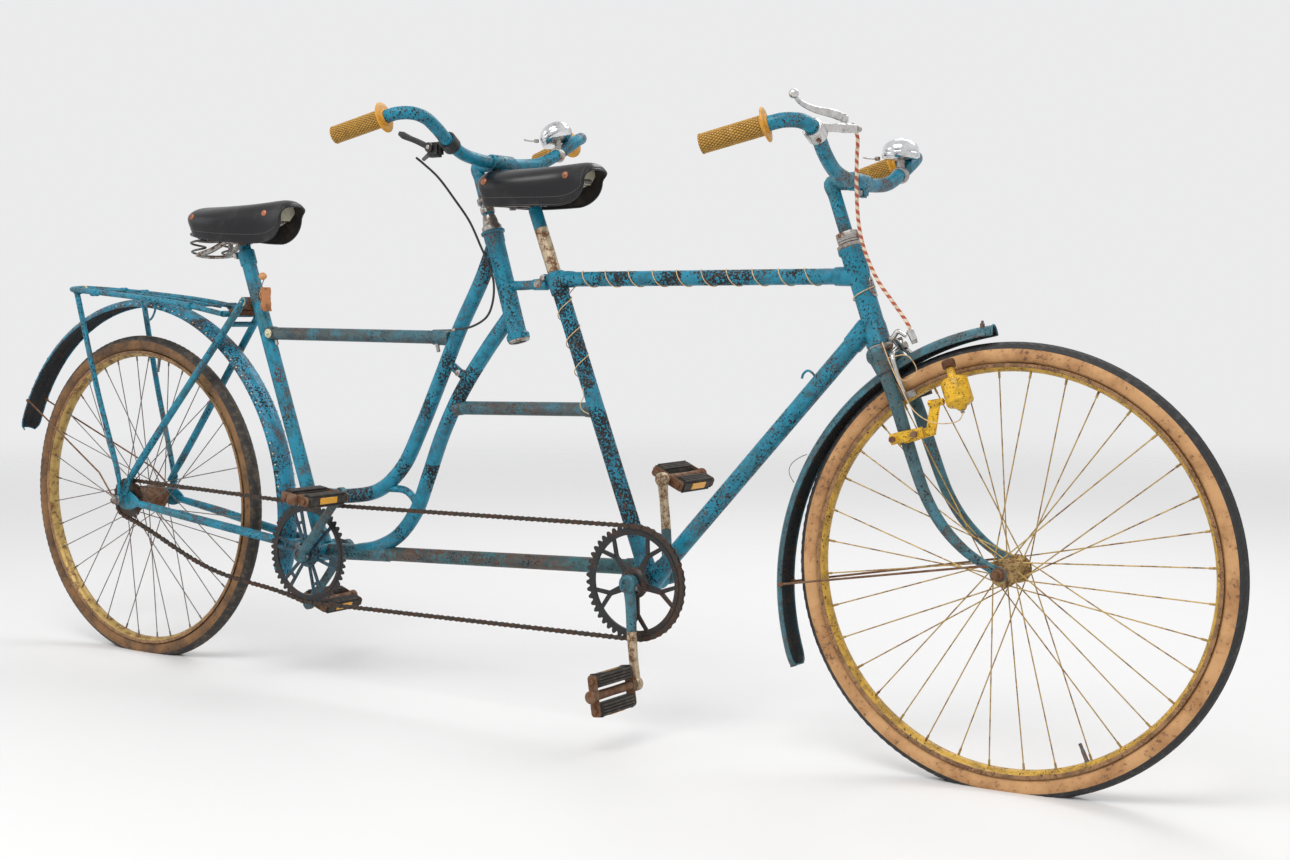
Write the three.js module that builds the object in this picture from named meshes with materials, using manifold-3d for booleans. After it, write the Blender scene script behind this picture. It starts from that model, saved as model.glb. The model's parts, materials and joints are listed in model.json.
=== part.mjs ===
// Tandem bicycle, home-built from a men's diamond frame in front and a ladies' loop frame behind.
// Millimetres. +X is forward, +Y is the bicycle's left, +Z is up.
// While it is drawn, the rear axle is at X = 0 and the wheels are AXLE_HEIGHT above Z = 0. The exported
// group is shifted so that the middle of the bottom of its bounding box is the origin.
import * as THREE from "three";
import { mergeVertices } from "three/addons/utils/BufferGeometryUtils.js";
import Module from "manifold-3d";

const wasm = await Module();
wasm.setup();

// ---------------------------------------------------------------- driving dimensions
const GAP = 0.3; // between pieces that touch
const WHEELBASE = 1950;
const AXLE_HEIGHT = 345;
const TYRE_RADIUS = 345;
const TYRE_SECTION = 17; // radius of the tyre's round section
const TYRE_FLAT = 13; // how much the standing tyre is flattened
const RIM_RADIUS = 302; // inside of the rim
const RIM_HALF_WIDTH = 13.5;
const SPOKES = 36;
const SPOKE_CROSSING = (60 * Math.PI) / 180; // three-cross lacing
const MUDGUARD_HALF_WIDTH = 25;

const CHAIN_PITCH = 12.7;
const RING_TEETH = 48;
const SPROCKET_TEETH = 20;
const CHAIN_LINE = -45; // Y of the chain, on the right
const CHAIN_SAG = 24; // of its slack run to the rear wheel
const CRANK_LENGTH = 168;
const CRANK_INNER = 56; // |Y| of a crank arm's inner face
const CRANK_THICKNESS = 12;
const FRONT_CRANK_ANGLE = -84; // degrees above forward, of the right crank
const REAR_CRANK_ANGLE = 48;

const FRONT_BRACKET = [1298, 277]; // X and Z of the bottom bracket axles
const REAR_BRACKET = [527, 269];
const BRACKET_RADIUS = 20;
const BRACKET_HALF_WIDTH = 34;

const HEAD_TOP = [1680, 836]; // head tube's ends on the steering axis
const HEAD_BOTTOM = [1732, 684];
const STEER_REST = (4 * Math.PI) / 180; // the wheel stands turned a little to the left
const BAR_TWIST = Math.PI / 180; // the front bar is turned further than the wheel
const BAR_RADIUS = 11.2;

const TUBE = { head: 17.5, top: 13, down: 15, seat: 14.5, boom: 13.5, brace: 12.5, loop: 14, stay: 8 };

// ---------------------------------------------------------------- shape helpers
const V = (x, y, z) => new THREE.Vector3(x, y, z);
const flat = ([x, z], y = 0) => V(x, y, z);
const degrees = (angle) => (angle * Math.PI) / 180;

function solidOf(geometry) {
  const bare = geometry.clone();
  bare.deleteAttribute("normal");
  bare.deleteAttribute("uv");
  const merged = mergeVertices(bare, 1e-3);
  const vertProperties = merged.attributes.position.array;
  const triVerts = new Uint32Array(merged.index.array);
  const solid = new wasm.Manifold(new wasm.Mesh({ numProp: 3, vertProperties, triVerts }));
  if (solid.volume() > 0) return solid;
  triVerts.reverse(); // a profile drawn the other way round
  return new wasm.Manifold(new wasm.Mesh({ numProp: 3, vertProperties, triVerts }));
}

function geometryOf(solid) {
  const { vertProperties, triVerts } = solid.getMesh();
  const geometry = new THREE.BufferGeometry();
  geometry.setAttribute("position", new THREE.BufferAttribute(vertProperties, 3));
  geometry.setIndex(new THREE.BufferAttribute(triVerts, 1));
  return geometry;
}

const join = (...parts) => geometryOf(parts.map(solidOf).reduce((all, next) => all.add(next)));
const cut = (body, ...tools) =>
  geometryOf(tools.map(solidOf).reduce((left, tool) => left.subtract(tool), solidOf(body)));

// A straight round bar from a to b, which may taper.
function rod(a, b, radius, endRadius = radius, sides = 12) {
  const along = b.clone().sub(a);
  const bar = new THREE.CylinderGeometry(endRadius, radius, along.length(), sides);
  bar.applyQuaternion(new THREE.Quaternion().setFromUnitVectors(V(0, 1, 0), along.clone().normalize()));
  return bar.translate(...a.clone().addScaledVector(along, 0.5).toArray());
}

// A turned piece: pairs of radius and distance along the line from a towards b.
function turned(a, b, profile, sides = 16) {
  const lathe = new THREE.LatheGeometry(profile.map(([r, d]) => new THREE.Vector2(r, d)), sides);
  const along = b.clone().sub(a).normalize();
  lathe.applyQuaternion(new THREE.Quaternion().setFromUnitVectors(V(0, 1, 0), along));
  return lathe.translate(...a.toArray());
}

function circle(radius, sides) {
  const corners = Array.from({ length: sides }, (_, i) => (2 * Math.PI * i) / sides);
  return new THREE.Shape(corners.map((t) => new THREE.Vector2(radius * Math.cos(t), radius * Math.sin(t))));
}

const sweep = (shape, path, steps) =>
  new THREE.ExtrudeGeometry(shape, { extrudePath: path, steps, bevelEnabled: false });

// A bent round bar through the points.
const bent = (points, radius, steps, sides = 10) =>
  sweep(circle(radius, sides), new THREE.CatmullRomCurve3(points, false, "centripetal"), steps);

// A flat plate drawn in X and Z, thick along Y, from y0 to y1.
function plate(shape, y0, y1, curveSegments = 8) {
  const slab = new THREE.ExtrudeGeometry(shape, { depth: y1 - y0, bevelEnabled: false, curveSegments });
  return slab.rotateX(Math.PI / 2).translate(0, y1, 0);
}

function box(low, high) {
  const size = high.clone().sub(low);
  return new THREE.BoxGeometry(...size.toArray()).translate(...low.clone().add(high).multiplyScalar(0.5).toArray());
}

// A box whose long side runs from a to b; `across` is its width direction.
function bar(a, b, width, thickness, across) {
  const x = b.clone().sub(a);
  const length = x.length();
  x.normalize();
  const z = x.clone().cross(across).normalize();
  const y = z.clone().cross(x);
  const turn = new THREE.Matrix4().makeBasis(x, y, z);
  turn.setPosition(a.clone().add(b).multiplyScalar(0.5));
  return new THREE.BoxGeometry(length, width, thickness).applyMatrix4(turn);
}

// ---------------------------------------------------------------- materials
const paint = (color, roughness, metalness) => () =>
  new THREE.MeshStandardMaterial({ color, roughness, metalness });
const blue = paint(0x1f7f9c, 0.45, 0.2);
const dullBlue = paint(0x2f6676, 0.6, 0.2);
const black = paint(0x17181a, 0.5, 0.2);
const steel = paint(0x8d8a82, 0.4, 0.8);
const rusty = paint(0x6b4a33, 0.8, 0.4);
const aluminium = paint(0xb9b7b0, 0.35, 0.9);
const chrome = paint(0xc8cacc, 0.12, 1);
const amber = paint(0xc9922a, 0.4, 0);
const yellow = paint(0xd9a514, 0.45, 0.1);
const leather = paint(0x141416, 0.35, 0);
const tanLeather = paint(0x9a5a30, 0.7, 0);
const gum = paint(0xb98352, 0.7, 0);
const oldGum = paint(0x7d6348, 0.8, 0);
const oldChain = paint(0x2c2521, 0.7, 0.5);
const tan = paint(0xc2a06c, 0.6, 0);
const red = paint(0xb8503a, 0.6, 0);

const bicycle = new THREE.Group();
const placed = new THREE.Group(); // holds the whole bicycle, shifted to its origin
placed.add(bicycle);

function piece(name, geometry, material, parent = bicycle) {
  const mesh = new THREE.Mesh(geometry, material());
  mesh.name = name;
  parent.add(mesh);
  return mesh;
}

// ---------------------------------------------------------------- frame
const steerAxis = flat(HEAD_TOP).sub(flat(HEAD_BOTTOM)).normalize();
const alongHead = (distance) => flat(HEAD_BOTTOM).addScaledVector(steerAxis, distance);
const headLength = flat(HEAD_TOP).distanceTo(flat(HEAD_BOTTOM));
const bracketAxle = ([x, z], half) => [V(x, -half, z), V(x, half, z)];
const bracketShell = (centre, extra = 0) =>
  rod(...bracketAxle(centre, BRACKET_HALF_WIDTH), BRACKET_RADIUS + extra, BRACKET_RADIUS + extra, 16);
const bracketBore = (centre) => rod(...bracketAxle(centre, BRACKET_HALF_WIDTH + 1), 10, 10, 12);

const FRONT_SEAT_TOP = [1097, 806];
const REAR_SEAT_TOP = [318, 862];
const SECOND_HEAD_TOP = [957, 884];
const SECOND_HEAD_BOTTOM = [1016, 688];
const TOP_TUBE = [[1107, 795], [1697, 792]];
const DOWN_TUBE = [[1715, 717], [1299, 269]];
const LINK = [[985, 786], [1103, 786]];
const MID_BRACE = [[862, 561], [1186, 567]];
const REAR_TOP_TUBE = [[378, 697], [860, 691]];
const UPPER_LOOP = [
  [962, 862], [933, 800], [878, 706], [830, 612], [782, 520], [735, 444], [676, 398], [600, 382], [490, 380],
];
const LOWER_LOOP = [
  [1000, 734], [945, 672], [880, 588], [836, 512], [800, 430], [768, 362], [722, 312], [668, 286], [620, 276],
];

const seatTube = (top, bracket, extra = 0) => rod(flat(bracket), flat(top), TUBE.seat + extra, TUBE.seat + extra, 12);
const secondHead = (extra = 0) =>
  rod(flat(SECOND_HEAD_BOTTOM), flat(SECOND_HEAD_TOP), 17 + extra, 17 + extra, 16);
const loop = (route, extra = 0) => bent(route.map((p) => flat(p)), TUBE.loop + extra, 10, 10);

// Head tube with its lug rings and headset cups, bored for the steerer.
function headTube() {
  const shell = turned(alongHead(0), alongHead(headLength), [
    [13.6, 0], [21, 0], [21, 5], [18.6, 9], [18.6, 34], [TUBE.head, 38],
    [TUBE.head, headLength - 48], [18.6, headLength - 44], [18.6, headLength - 10],
    [21.5, headLength - 7], [21.5, headLength], [13.6, headLength], [13.6, 0],
  ], 14);
  const crest = bar(alongHead(70).add(V(16.6, 0, 5.7)), alongHead(112).add(V(16.6, 0, 5.7)), 22, 3, V(0, 1, 0));
  return join(shell, cut(crest, rod(alongHead(0), alongHead(headLength), 15, 15, 8)));
}

// The bore for a seat post, which also runs on above the tube.
function postBore(top, bracket) {
  const axis = flat(top).sub(flat(bracket)).normalize();
  return rod(flat(top).addScaledVector(axis, -190), flat(top).addScaledVector(axis, 110), 12.9, 12.9, 12);
}

// A seat tube with its bottom bracket shell, bored for the seat post and the crank axle.
function seatTubeWithShell(top, bracket, sleeve) {
  const axis = flat(top).sub(flat(bracket)).normalize();
  const collarLow = flat(top).addScaledVector(axis, -sleeve);
  const collar = rod(collarLow, flat(top), TUBE.seat + 2, TUBE.seat + 2, 12);
  const body = join(seatTube(top, bracket), collar, bracketShell(bracket));
  return cut(body, postBore(top, bracket), bracketBore(bracket));
}

// The second head tube: an open bottom cup, a top cup and the short link to the front seat tube.
function secondHeadTube() {
  const length = flat(SECOND_HEAD_TOP).distanceTo(flat(SECOND_HEAD_BOTTOM));
  const shell = turned(flat(SECOND_HEAD_BOTTOM), flat(SECOND_HEAD_TOP), [
    [12.5, 0], [21, 0], [21, 10], [17, 14], [17, length - 24], [18.5, length - 20],
    [18.5, length - 6], [22, length - 4], [22, length], [12.5, length], [12.5, 0],
  ], 12);
  const link = join(
    rod(flat(LINK[0]), flat(LINK[1]), 8.5, 8.5, 10),
    rod(V(1062, 0, LINK[0][1]), flat(LINK[1]), 11, 11, 10),
  );
  const linkTrimmed = cut(link, seatTube(FRONT_SEAT_TOP, FRONT_BRACKET, 2 + GAP));
  const bore = rod(flat([SECOND_HEAD_BOTTOM[0] + 2, SECOND_HEAD_BOTTOM[1] - 7]), flat(SECOND_HEAD_TOP), 12.4, 12.4, 12);
  return cut(join(shell, linkTrimmed), bore);
}

// The ladies' frame's two curved down tubes, with the spacer and the curved strut brazed between them.
function loopTubes() {
  const spacer = rod(V(852, 0, 645), V(906, 0, 606), 8, 8, 8);
  const strut = bent([V(700, 0, 402), V(742, 0, 400), V(764, 0, 384), V(772, 0, 350)], 7, 6, 8);
  return cut(
    join(loop(UPPER_LOOP), loop(LOWER_LOOP), spacer, strut),
    secondHead(GAP + 1.5),
    seatTube(REAR_SEAT_TOP, REAR_BRACKET, GAP),
    bracketShell(REAR_BRACKET, GAP),
    boom(GAP),
  );
}

const BOOM_END = [1284, 296.5];
const boom = (extra = 0) =>
  join(
    rod(flat(REAR_BRACKET), flat(BOOM_END), TUBE.boom + extra, TUBE.boom + extra, 12),
    rod(V(560, 0, 270.5), V(700, 0, 275.6), 16 + extra, 16 + extra, 12),
  );

piece("head_tube", headTube(), blue);
piece("top_tube", cut(
  join(
    rod(flat(TOP_TUBE[0]), flat(TOP_TUBE[1]), TUBE.top, TUBE.top, 14),
    rod(V(1652, 0, 792.2), flat(TOP_TUBE[1]), TUBE.top + 1.5, TUBE.top + 1.5, 14),
  ),
  rod(flat(FRONT_BRACKET), V(1088, 0, 830), TUBE.seat + 2.6 + GAP, TUBE.seat + 2.6 + GAP, 14),
  rod(alongHead(0), alongHead(headLength), 19.4, 19.4, 14),
), blue);
piece("down_tube", cut(
  join(
    rod(flat(DOWN_TUBE[1]), flat(DOWN_TUBE[0]), TUBE.down, TUBE.down, 14),
    rod(V(1683, 0, 682.5), flat(DOWN_TUBE[0]), TUBE.down + 1.5, TUBE.down + 1.5, 14),
    bent([V(1625, 0, 612), V(1616, 0, 636), V(1604, 0, 644), V(1596, 0, 634)], 2, 5, 6),
  ),
  rod(alongHead(-8), alongHead(headLength), 19.4, 19.4, 14),
  rod(alongHead(-8), alongHead(6), 21.8, 21.8, 14),
  bracketShell(FRONT_BRACKET, GAP),
  seatTube(FRONT_SEAT_TOP, FRONT_BRACKET, GAP),
), blue);
piece("front_seat_tube", seatTubeWithShell(FRONT_SEAT_TOP, FRONT_BRACKET, 40), blue);
piece("boom_tube", cut(
  boom(),
  bracketShell(REAR_BRACKET, GAP),
  bracketShell(FRONT_BRACKET, GAP),
  seatTube(FRONT_SEAT_TOP, FRONT_BRACKET, GAP),
), rusty);
piece("mid_brace", cut(
  rod(flat(MID_BRACE[0]), flat(MID_BRACE[1]), TUBE.brace, TUBE.brace, 12),
  loop(LOWER_LOOP, GAP),
  seatTube(FRONT_SEAT_TOP, FRONT_BRACKET, GAP),
), blue);
piece("second_head_tube", secondHeadTube(), blue);
piece("loop_tubes", loopTubes(), blue);
piece("rear_top_tube", cut(
  join(
    rod(flat(REAR_TOP_TUBE[0]), flat(REAR_TOP_TUBE[1]), TUBE.brace, TUBE.brace, 12),
    rod(V(815, 0, 691.6), flat(REAR_TOP_TUBE[1]), TUBE.brace + 2, TUBE.brace + 2, 12),
    rod(V(395, -17, 697), V(395, 17, 697), 7, 7, 8),
    rod(V(828, -6, 680), V(832, -6, 664), 4, 4, 6),
  ),
  seatTube(REAR_SEAT_TOP, REAR_BRACKET, GAP),
  loop(UPPER_LOOP, GAP),
), blue);
piece("rear_seat_tube", seatTubeWithShell(REAR_SEAT_TOP, REAR_BRACKET, 30), blue);

// Dropouts, with the axle slot open to the front and below.
const DROPOUT_Y = 60;
function dropout(side) {
  const outline = new THREE.Shape();
  outline.moveTo(-14, 352);
  outline.lineTo(-4, 362);
  outline.lineTo(20, 366);
  outline.lineTo(52, 346);
  outline.lineTo(48, 332);
  outline.lineTo(18, 322);
  outline.lineTo(-10, 328);
  outline.closePath();
  return plate(outline, side * DROPOUT_Y - 2, side * DROPOUT_Y + 2);
}
const axleHole = (radius) => rod(V(0, -90, AXLE_HEIGHT), V(0, 90, AXLE_HEIGHT), radius, radius, 12);

function chainStays() {
  const legs = [-1, 1].map((side) => join(
    rod(V(515, side * 22, 274), V(36, side * (DROPOUT_Y - 3), 339), 7.5, 7.5, 8),
    dropout(side),
  ));
  const bridge = rod(V(452, -30, 283), V(452, 30, 283), 5, 5, 8);
  return cut(join(...legs, bridge), bracketShell(REAR_BRACKET, GAP), axleHole(6),
    seatTube(REAR_SEAT_TOP, REAR_BRACKET, GAP));
}

// The flattened end of a seat stay, bolted to the outside of the dropout.
function stayFoot() {
  const outline = new THREE.Shape();
  outline.moveTo(-2, 356);
  outline.lineTo(20, 354);
  outline.lineTo(30, 392);
  outline.lineTo(12, 384);
  outline.closePath();
  return outline;
}

function seatStays() {
  const legs = [-1, 1].map((side) =>
    rod(V(10, side * 58.5, 377), V(345, side * 30, 765), 7.5, 7.5, 10));
  const foot = [-1, 1].map((side) => plate(stayFoot(), side * 64 - 1.6, side * 64 + 1.6));
  const bridge = rod(V(302, -34, 715), V(302, 34, 715), 5.5, 5.5, 8);
  const clampBolt = rod(V(341, -34, 760), V(341, 34, 760), 9, 9, 10);
  const clip = box(V(322, -16, 748), V(350, 16, 772));
  return cut(join(...legs, ...foot, bridge, clampBolt, clip), seatTube(REAR_SEAT_TOP, REAR_BRACKET, GAP));
}
piece("chain_stays", chainStays(), blue);
piece("seat_stays", seatStays(), blue);

// Rear axle with its nuts outside the dropouts.
piece("rear_axle", join(
  rod(V(0, -90, AXLE_HEIGHT), V(0, 90, AXLE_HEIGHT), 5, 5, 10),
  rod(V(0, -86, AXLE_HEIGHT), V(0, -76.6, AXLE_HEIGHT), 9, 9, 6),
  rod(V(0, 76.6, AXLE_HEIGHT), V(0, 86, AXLE_HEIGHT), 9, 9, 6),
), steel);

// ---------------------------------------------------------------- rack and mudguards
const RACK_HALF = 66;
const REAR_GUARD_CENTRE = [5, 333];
const REAR_GUARD_RADIUS = 429;
function rack() {
  const rail = (side) => [
    V(296, side * 45, 736), V(215, side * 58, 752), V(100, side * RACK_HALF, 767),
    V(-50, side * RACK_HALF, 781), V(-150, side * (RACK_HALF - 6), 789),
  ];
  const outer = bent([...rail(-1), V(-182, 0, 793), ...rail(1).reverse()], 6.5, 18, 6);
  const wires = [-22, 22].map((y) => bent([V(218, y, 751), V(100, y, 766), V(-50, y, 781), V(-178, y, 792)], 3, 3, 5));
  const straps = [[210, 751], [-84, 784]].map(([x, z]) =>
    box(V(x - 9, -RACK_HALF + 9, z - 1.5), V(x + 9, RACK_HALF - 9, z + 3)));
  const hook = bent([V(68, -56, 769), V(76, -56, 738), V(92, -56, 722), V(108, -56, 738), V(112, -58, 766)], 2.2, 5, 5);
  const frontCross = rod(V(296, -45, 736), V(296, 45, 736), 6.5, 6.5, 6);
  const struts = [[-1, -132, 786], [1, -75, 782]].map(([side, x, z]) => join(
    rod(V(x, side * (RACK_HALF - 2), z), V(6, side * 73, 374), 6, 5.5, 6),
    rod(V(6, side * 73, 376), V(1, side * 73, 355), 5.5, 3, 6),
    rod(V(0, side * 70, AXLE_HEIGHT), V(0, side * 76, AXLE_HEIGHT), 11, 11, 10),
  ));
  return cut(
    join(outer, ...wires, ...straps, hook, frontCross, ...struts),
    axleHole(6),
    ...[-1, 1].map((side) => rod(V(10, side * 58.5, 377), V(362, side * 28.6, 785), 8, 8, 10)),
  );
}

// A blade of half-round section from one angle to another, measured about its centre from forward.
function mudguardBlade([x, z], radius, from, to, steps) {
  const inside = new THREE.EllipseCurve(x, z, radius, radius, degrees(from), degrees(to));
  const arc = new THREE.CatmullRomCurve3(inside.getPoints(12).map((p) => V(p.x, 0, p.y)));
  const half = MUDGUARD_HALF_WIDTH;
  const section = new THREE.Shape([
    [-half, -9], [-half + 8, 2], [0, 6.5], [half - 8, 2], [half, -9],
    [half - 2.2, -9], [half - 9.2, 0], [0, 4.3], [-half + 9.2, 0], [-half + 2.2, -9],
  ].map(([across, out]) => new THREE.Vector2(across, out)));
  return sweep(section, arc, steps);
}
const onCircle = ([x, z], radius, angle, y = 0) =>
  V(x + radius * Math.cos(degrees(angle)), y, z + radius * Math.sin(degrees(angle)));

// Two wire stays from a mudguard's edges at `angle` to eyes outside the wheel's axle ends.
const guardStays = (centre, radius, angle, axleX, eyeY) => [-1, 1].map((side) =>
  rod(onCircle(centre, radius - 8, angle, side * (MUDGUARD_HALF_WIDTH - 1.2)), V(axleX, side * eyeY, AXLE_HEIGHT + 12),
    1.8, 1.8, 6));

piece("rear_rack", rack(), blue);
piece("rear_mudguard", cut(
  join(
    mudguardBlade(REAR_GUARD_CENTRE, REAR_GUARD_RADIUS, -16, 160, 17),
    ...guardStays(REAR_GUARD_CENTRE, REAR_GUARD_RADIUS, 150, -12, 80),
  ),
  ...[-1, 1].map((side) => rod(V(515, side * 22, 274), V(44, side * (DROPOUT_Y - 3), 338), 8.2, 8.2, 10)),
), dullBlue);

// ---------------------------------------------------------------- seats
// A post in its seat tube, from INSERTED below the tube's top to the height `z`.
const INSERTED = 110;
const POST_RADIUS = 12.2;
function seatPost(top, bracket, z) {
  const axis = flat(top).sub(flat(bracket)).normalize();
  const head = flat(top).addScaledVector(axis, (z - top[1]) / axis.z);
  return rod(flat(top).addScaledVector(axis, -INSERTED), head, POST_RADIUS, POST_RADIUS, 12);
}

// The steel under a saddle: a clamp on the post, two rails, and a pair of coil springs at the back.
function saddleFrame([x, z], springs) {
  const clamp = join(
    rod(V(x, -24, z), V(x, 24, z), 9, 9, 8),
    rod(V(x + 2, 0, z - 12), V(x - 1, 0, z + 4), 15.5, 15.5, 12),
  );
  const rails = [-1, 1].map((side) => bent([
    V(x - 86, side * 40, z - 2), V(x - 50, side * 30, z - 4), V(x, side * 19, z + 2),
    V(x + 70, side * 14, z + 12), V(x + 112, side * 9, z + 26),
  ], 3.5, 5, 5));
  const nose = rod(V(x + 110, -12, z + 26), V(x + 110, 12, z + 26), 4, 4, 6);
  const back = rod(V(x - 86, -44, z - 2), V(x - 86, 44, z - 2), 4, 4, 6);
  const coils = [-1, 1].map((side) =>
    rod(V(x - 86, side * 40, z - springs), V(x - 86, side * 40, z + 22), 9, 9, 6));
  return join(clamp, ...rails, nose, back, ...coils);
}

// The leather cover: a domed shell with deep side skirts, open below and at the nose.
function saddleCover([x, z], back, front, halfWidth, skirt, rise) {
  const outline = (inset) => {
    const shape = new THREE.Shape();
    const w = halfWidth - inset;
    shape.moveTo(x + front + inset * 4, -18 + inset);
    shape.bezierCurveTo(x + 60, -26 + inset, x + 20, -w * 0.62, x - 40, -w);
    shape.bezierCurveTo(x - 90, -w - 4, x - back + inset, -w, x - back + inset, 0);
    shape.bezierCurveTo(x - back + inset, w, x - 90, w + 4, x - 40, w);
    shape.bezierCurveTo(x + 20, w * 0.62, x + 60, 26 - inset, x + front + inset * 4, 18 - inset);
    shape.closePath();
    return shape;
  };
  const profile = (inset) => {
    const shape = new THREE.Shape();
    shape.moveTo(x - back - 9, z + 18 - inset * 9);
    shape.bezierCurveTo(x - back / 2, z + 15 - skirt - inset * 9, x + 20, z + 15 - skirt - inset * 9,
      x + front + 9, z + 26 - inset * 9);
    shape.lineTo(x + front + 9, z + rise + 2 - inset);
    shape.bezierCurveTo(x + 30, z + rise - 5 - inset, x - 20, z + rise - 3 - inset,
      x - back - 9, z + rise - 8 - inset);
    shape.closePath();
    return shape;
  };
  const block = (inset) => {
    const fromAbove = new THREE.ExtrudeGeometry(outline(inset), { depth: 260, bevelEnabled: false, curveSegments: 6 });
    fromAbove.translate(0, 0, z - 130);
    return geometryOf(solidOf(fromAbove).intersect(solidOf(plate(profile(inset), -120, 120, 6))));
  };
  return cut(block(0), block(4.5));
}

const FRONT_SADDLE = [1058, 938];
const REAR_SADDLE = [310, 893];
piece("front_seat_post", seatPost(FRONT_SEAT_TOP, FRONT_BRACKET, FRONT_SADDLE[1] - 16), rusty);
piece("front_saddle_frame", cut(saddleFrame(FRONT_SADDLE, 12), postBore(FRONT_SEAT_TOP, FRONT_BRACKET)), steel);
piece("front_saddle_cover", saddleCover(FRONT_SADDLE, 104, 134, 78, 30, 57), leather);
piece("rear_seat_post", seatPost(REAR_SEAT_TOP, REAR_BRACKET, REAR_SADDLE[1] - 16), blue);
piece("rear_saddle_frame", cut(saddleFrame(REAR_SADDLE, 38), postBore(REAR_SEAT_TOP, REAR_BRACKET)), steel);
piece("rear_saddle_cover", saddleCover(REAR_SADDLE, 112, 148, 80, 30, 66), leather);

// ---------------------------------------------------------------- handlebars, grips, bells
// Both handlebars are alike. They are drawn about the middle of the clamp.
const BAR_SIDE = [
  [0, 0, 0], [2, 60, 2], [6, 112, 9], [10, 158, 28], [14, 192, 47], [14, 218, 60], [6, 240, 66], [-12, 255, 66],
  [-30, 262, 62],
];
const GRIP_START = V(-32, 263, 61);
const GRIP_END = V(-132, 284, 34);
const mirror = (point, side) => V(point.x, point.y * side, point.z);

function handlebar() {
  const right = [...BAR_SIDE.slice(1).map((p) => V(...p)), GRIP_START.clone().lerp(GRIP_END, 0.93)]
    .map((p) => mirror(p, -1)).reverse();
  const left = [...BAR_SIDE.map((p) => V(...p)), GRIP_START.clone().lerp(GRIP_END, 0.93)];
  const sleeve = rod(V(2, -30, 0.5), V(2, 30, 0.5), 14.5, 14.5, 12);
  return join(bent([...right, ...left], BAR_RADIUS, 24, 8), sleeve);
}

function grip(side) {
  const from = mirror(GRIP_START, side);
  const to = mirror(GRIP_END, side);
  const length = from.distanceTo(to);
  const sleeve = turned(from, to, [
    [12.6, 4], [26, 4], [26, 7], [16.5, 9], [15.5, 14], [15, length], [0, length], [0, length - 4], [12.6, length - 4],
    [12.6, 4],
  ], 10);
  return sleeve;
}

const BELL_AT = V(10, 160, 58);
function bell(tilt) {
  const up = V(-Math.sin(tilt), 0, Math.cos(tilt));
  const foot = BELL_AT.clone().addScaledVector(up, -2);
  const dome = turned(foot, foot.clone().add(up), [
    [0, -3], [8, -3], [8, 0], [30, 2], [31.5, 9], [30, 19], [22, 27], [10, 31], [0, 32],
  ], 12);
  return join(dome, rod(BELL_AT.clone().add(V(2, 0, -32)), foot, 7, 7, 8));
}
const BELL_LEVER = V(-21, 135.5, 54); // the thumb lever's pivot
const bellLever = () => join(
  rod(BELL_LEVER.clone().add(V(0, 0, -3)), BELL_LEVER.clone().add(V(0, 0, 3)), 4.5, 4.5, 8),
  bar(BELL_LEVER, BELL_LEVER.clone().add(V(-22, -6, 0)), 9, 3, V(0, 1, 0)),
);

// A quill stem along the line from a to b, then forward to the bar's clamp.
function stem(a, b, clampAt, radius) {
  return join(rod(a, b, radius, radius, 12), rod(b.clone().add(V(0, 0, -12)), clampAt, 11.5, 11.5, 10));
}

const REAR_CLAMP = V(975, 0, 1004);
const rearBar = new THREE.Group();
rearBar.position.copy(REAR_CLAMP);
bicycle.add(rearBar);
const secondAxis = flat(SECOND_HEAD_TOP).sub(flat(SECOND_HEAD_BOTTOM)).normalize();
const alongSecond = (distance) => flat(SECOND_HEAD_TOP).addScaledVector(secondAxis, distance);
piece("rear_handlebar", join(
  handlebar(),
  join(
    stem(alongSecond(-60), alongSecond(124), REAR_CLAMP, 11),
    turned(alongSecond(GAP), alongSecond(60), [[0, 0], [18, 0], [18, 8], [14, 18], [12, 30], [0, 30]], 14),
  ).translate(...REAR_CLAMP.clone().negate().toArray()),
), blue, rearBar);
piece("rear_grip_right", grip(-1), amber, rearBar);
piece("rear_grip_left", grip(1), amber, rearBar);
piece("rear_bell", cut(bell(0.6), handlebarTool()), chrome, rearBar);
piece("rear_bell_lever", bellLever(), steel, rearBar);

function handlebarTool() {
  const side = BAR_SIDE.map((p) => V(...p));
  return bent(side, BAR_RADIUS + 1.9, 14, 8);
}

// Trigger shifter clamped behind the right bend of the rear bar.
const SHIFTER = V(-22, -150, 14);
piece("shifter_body", cut(
  join(
    box(SHIFTER.clone().add(V(-16, -9, -14)), SHIFTER.clone().add(V(18, 9, 14))),
    rod(V(7, -136, 17), V(10, -164, 32), 16, 16, 12),
  ),
  mirrored(handlebarTool()),
), black, rearBar);
piece("shifter_lever", join(
  rod(SHIFTER.clone().add(V(-6, -14, 4)), SHIFTER.clone().add(V(-6, -9.4, 4)), 8, 8, 10),
  bar(SHIFTER.clone().add(V(-6, -12, 6)), SHIFTER.clone().add(V(-66, -19, 30)), 4, 9, V(0, 1, 0)),
), black, rearBar);

function mirrored(geometry) {
  return geometryOf(solidOf(geometry).mirror([0, 1, 0]));
}

// ---------------------------------------------------------------- steering assembly
const steeringPivot = new THREE.Group();
steeringPivot.position.copy(alongHead(0));
steeringPivot.quaternion.setFromAxisAngle(steerAxis, STEER_REST);
const steering = new THREE.Group(); // drawn straight ahead
steering.position.copy(alongHead(0).negate());
steeringPivot.add(steering);
bicycle.add(steeringPivot);

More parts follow.
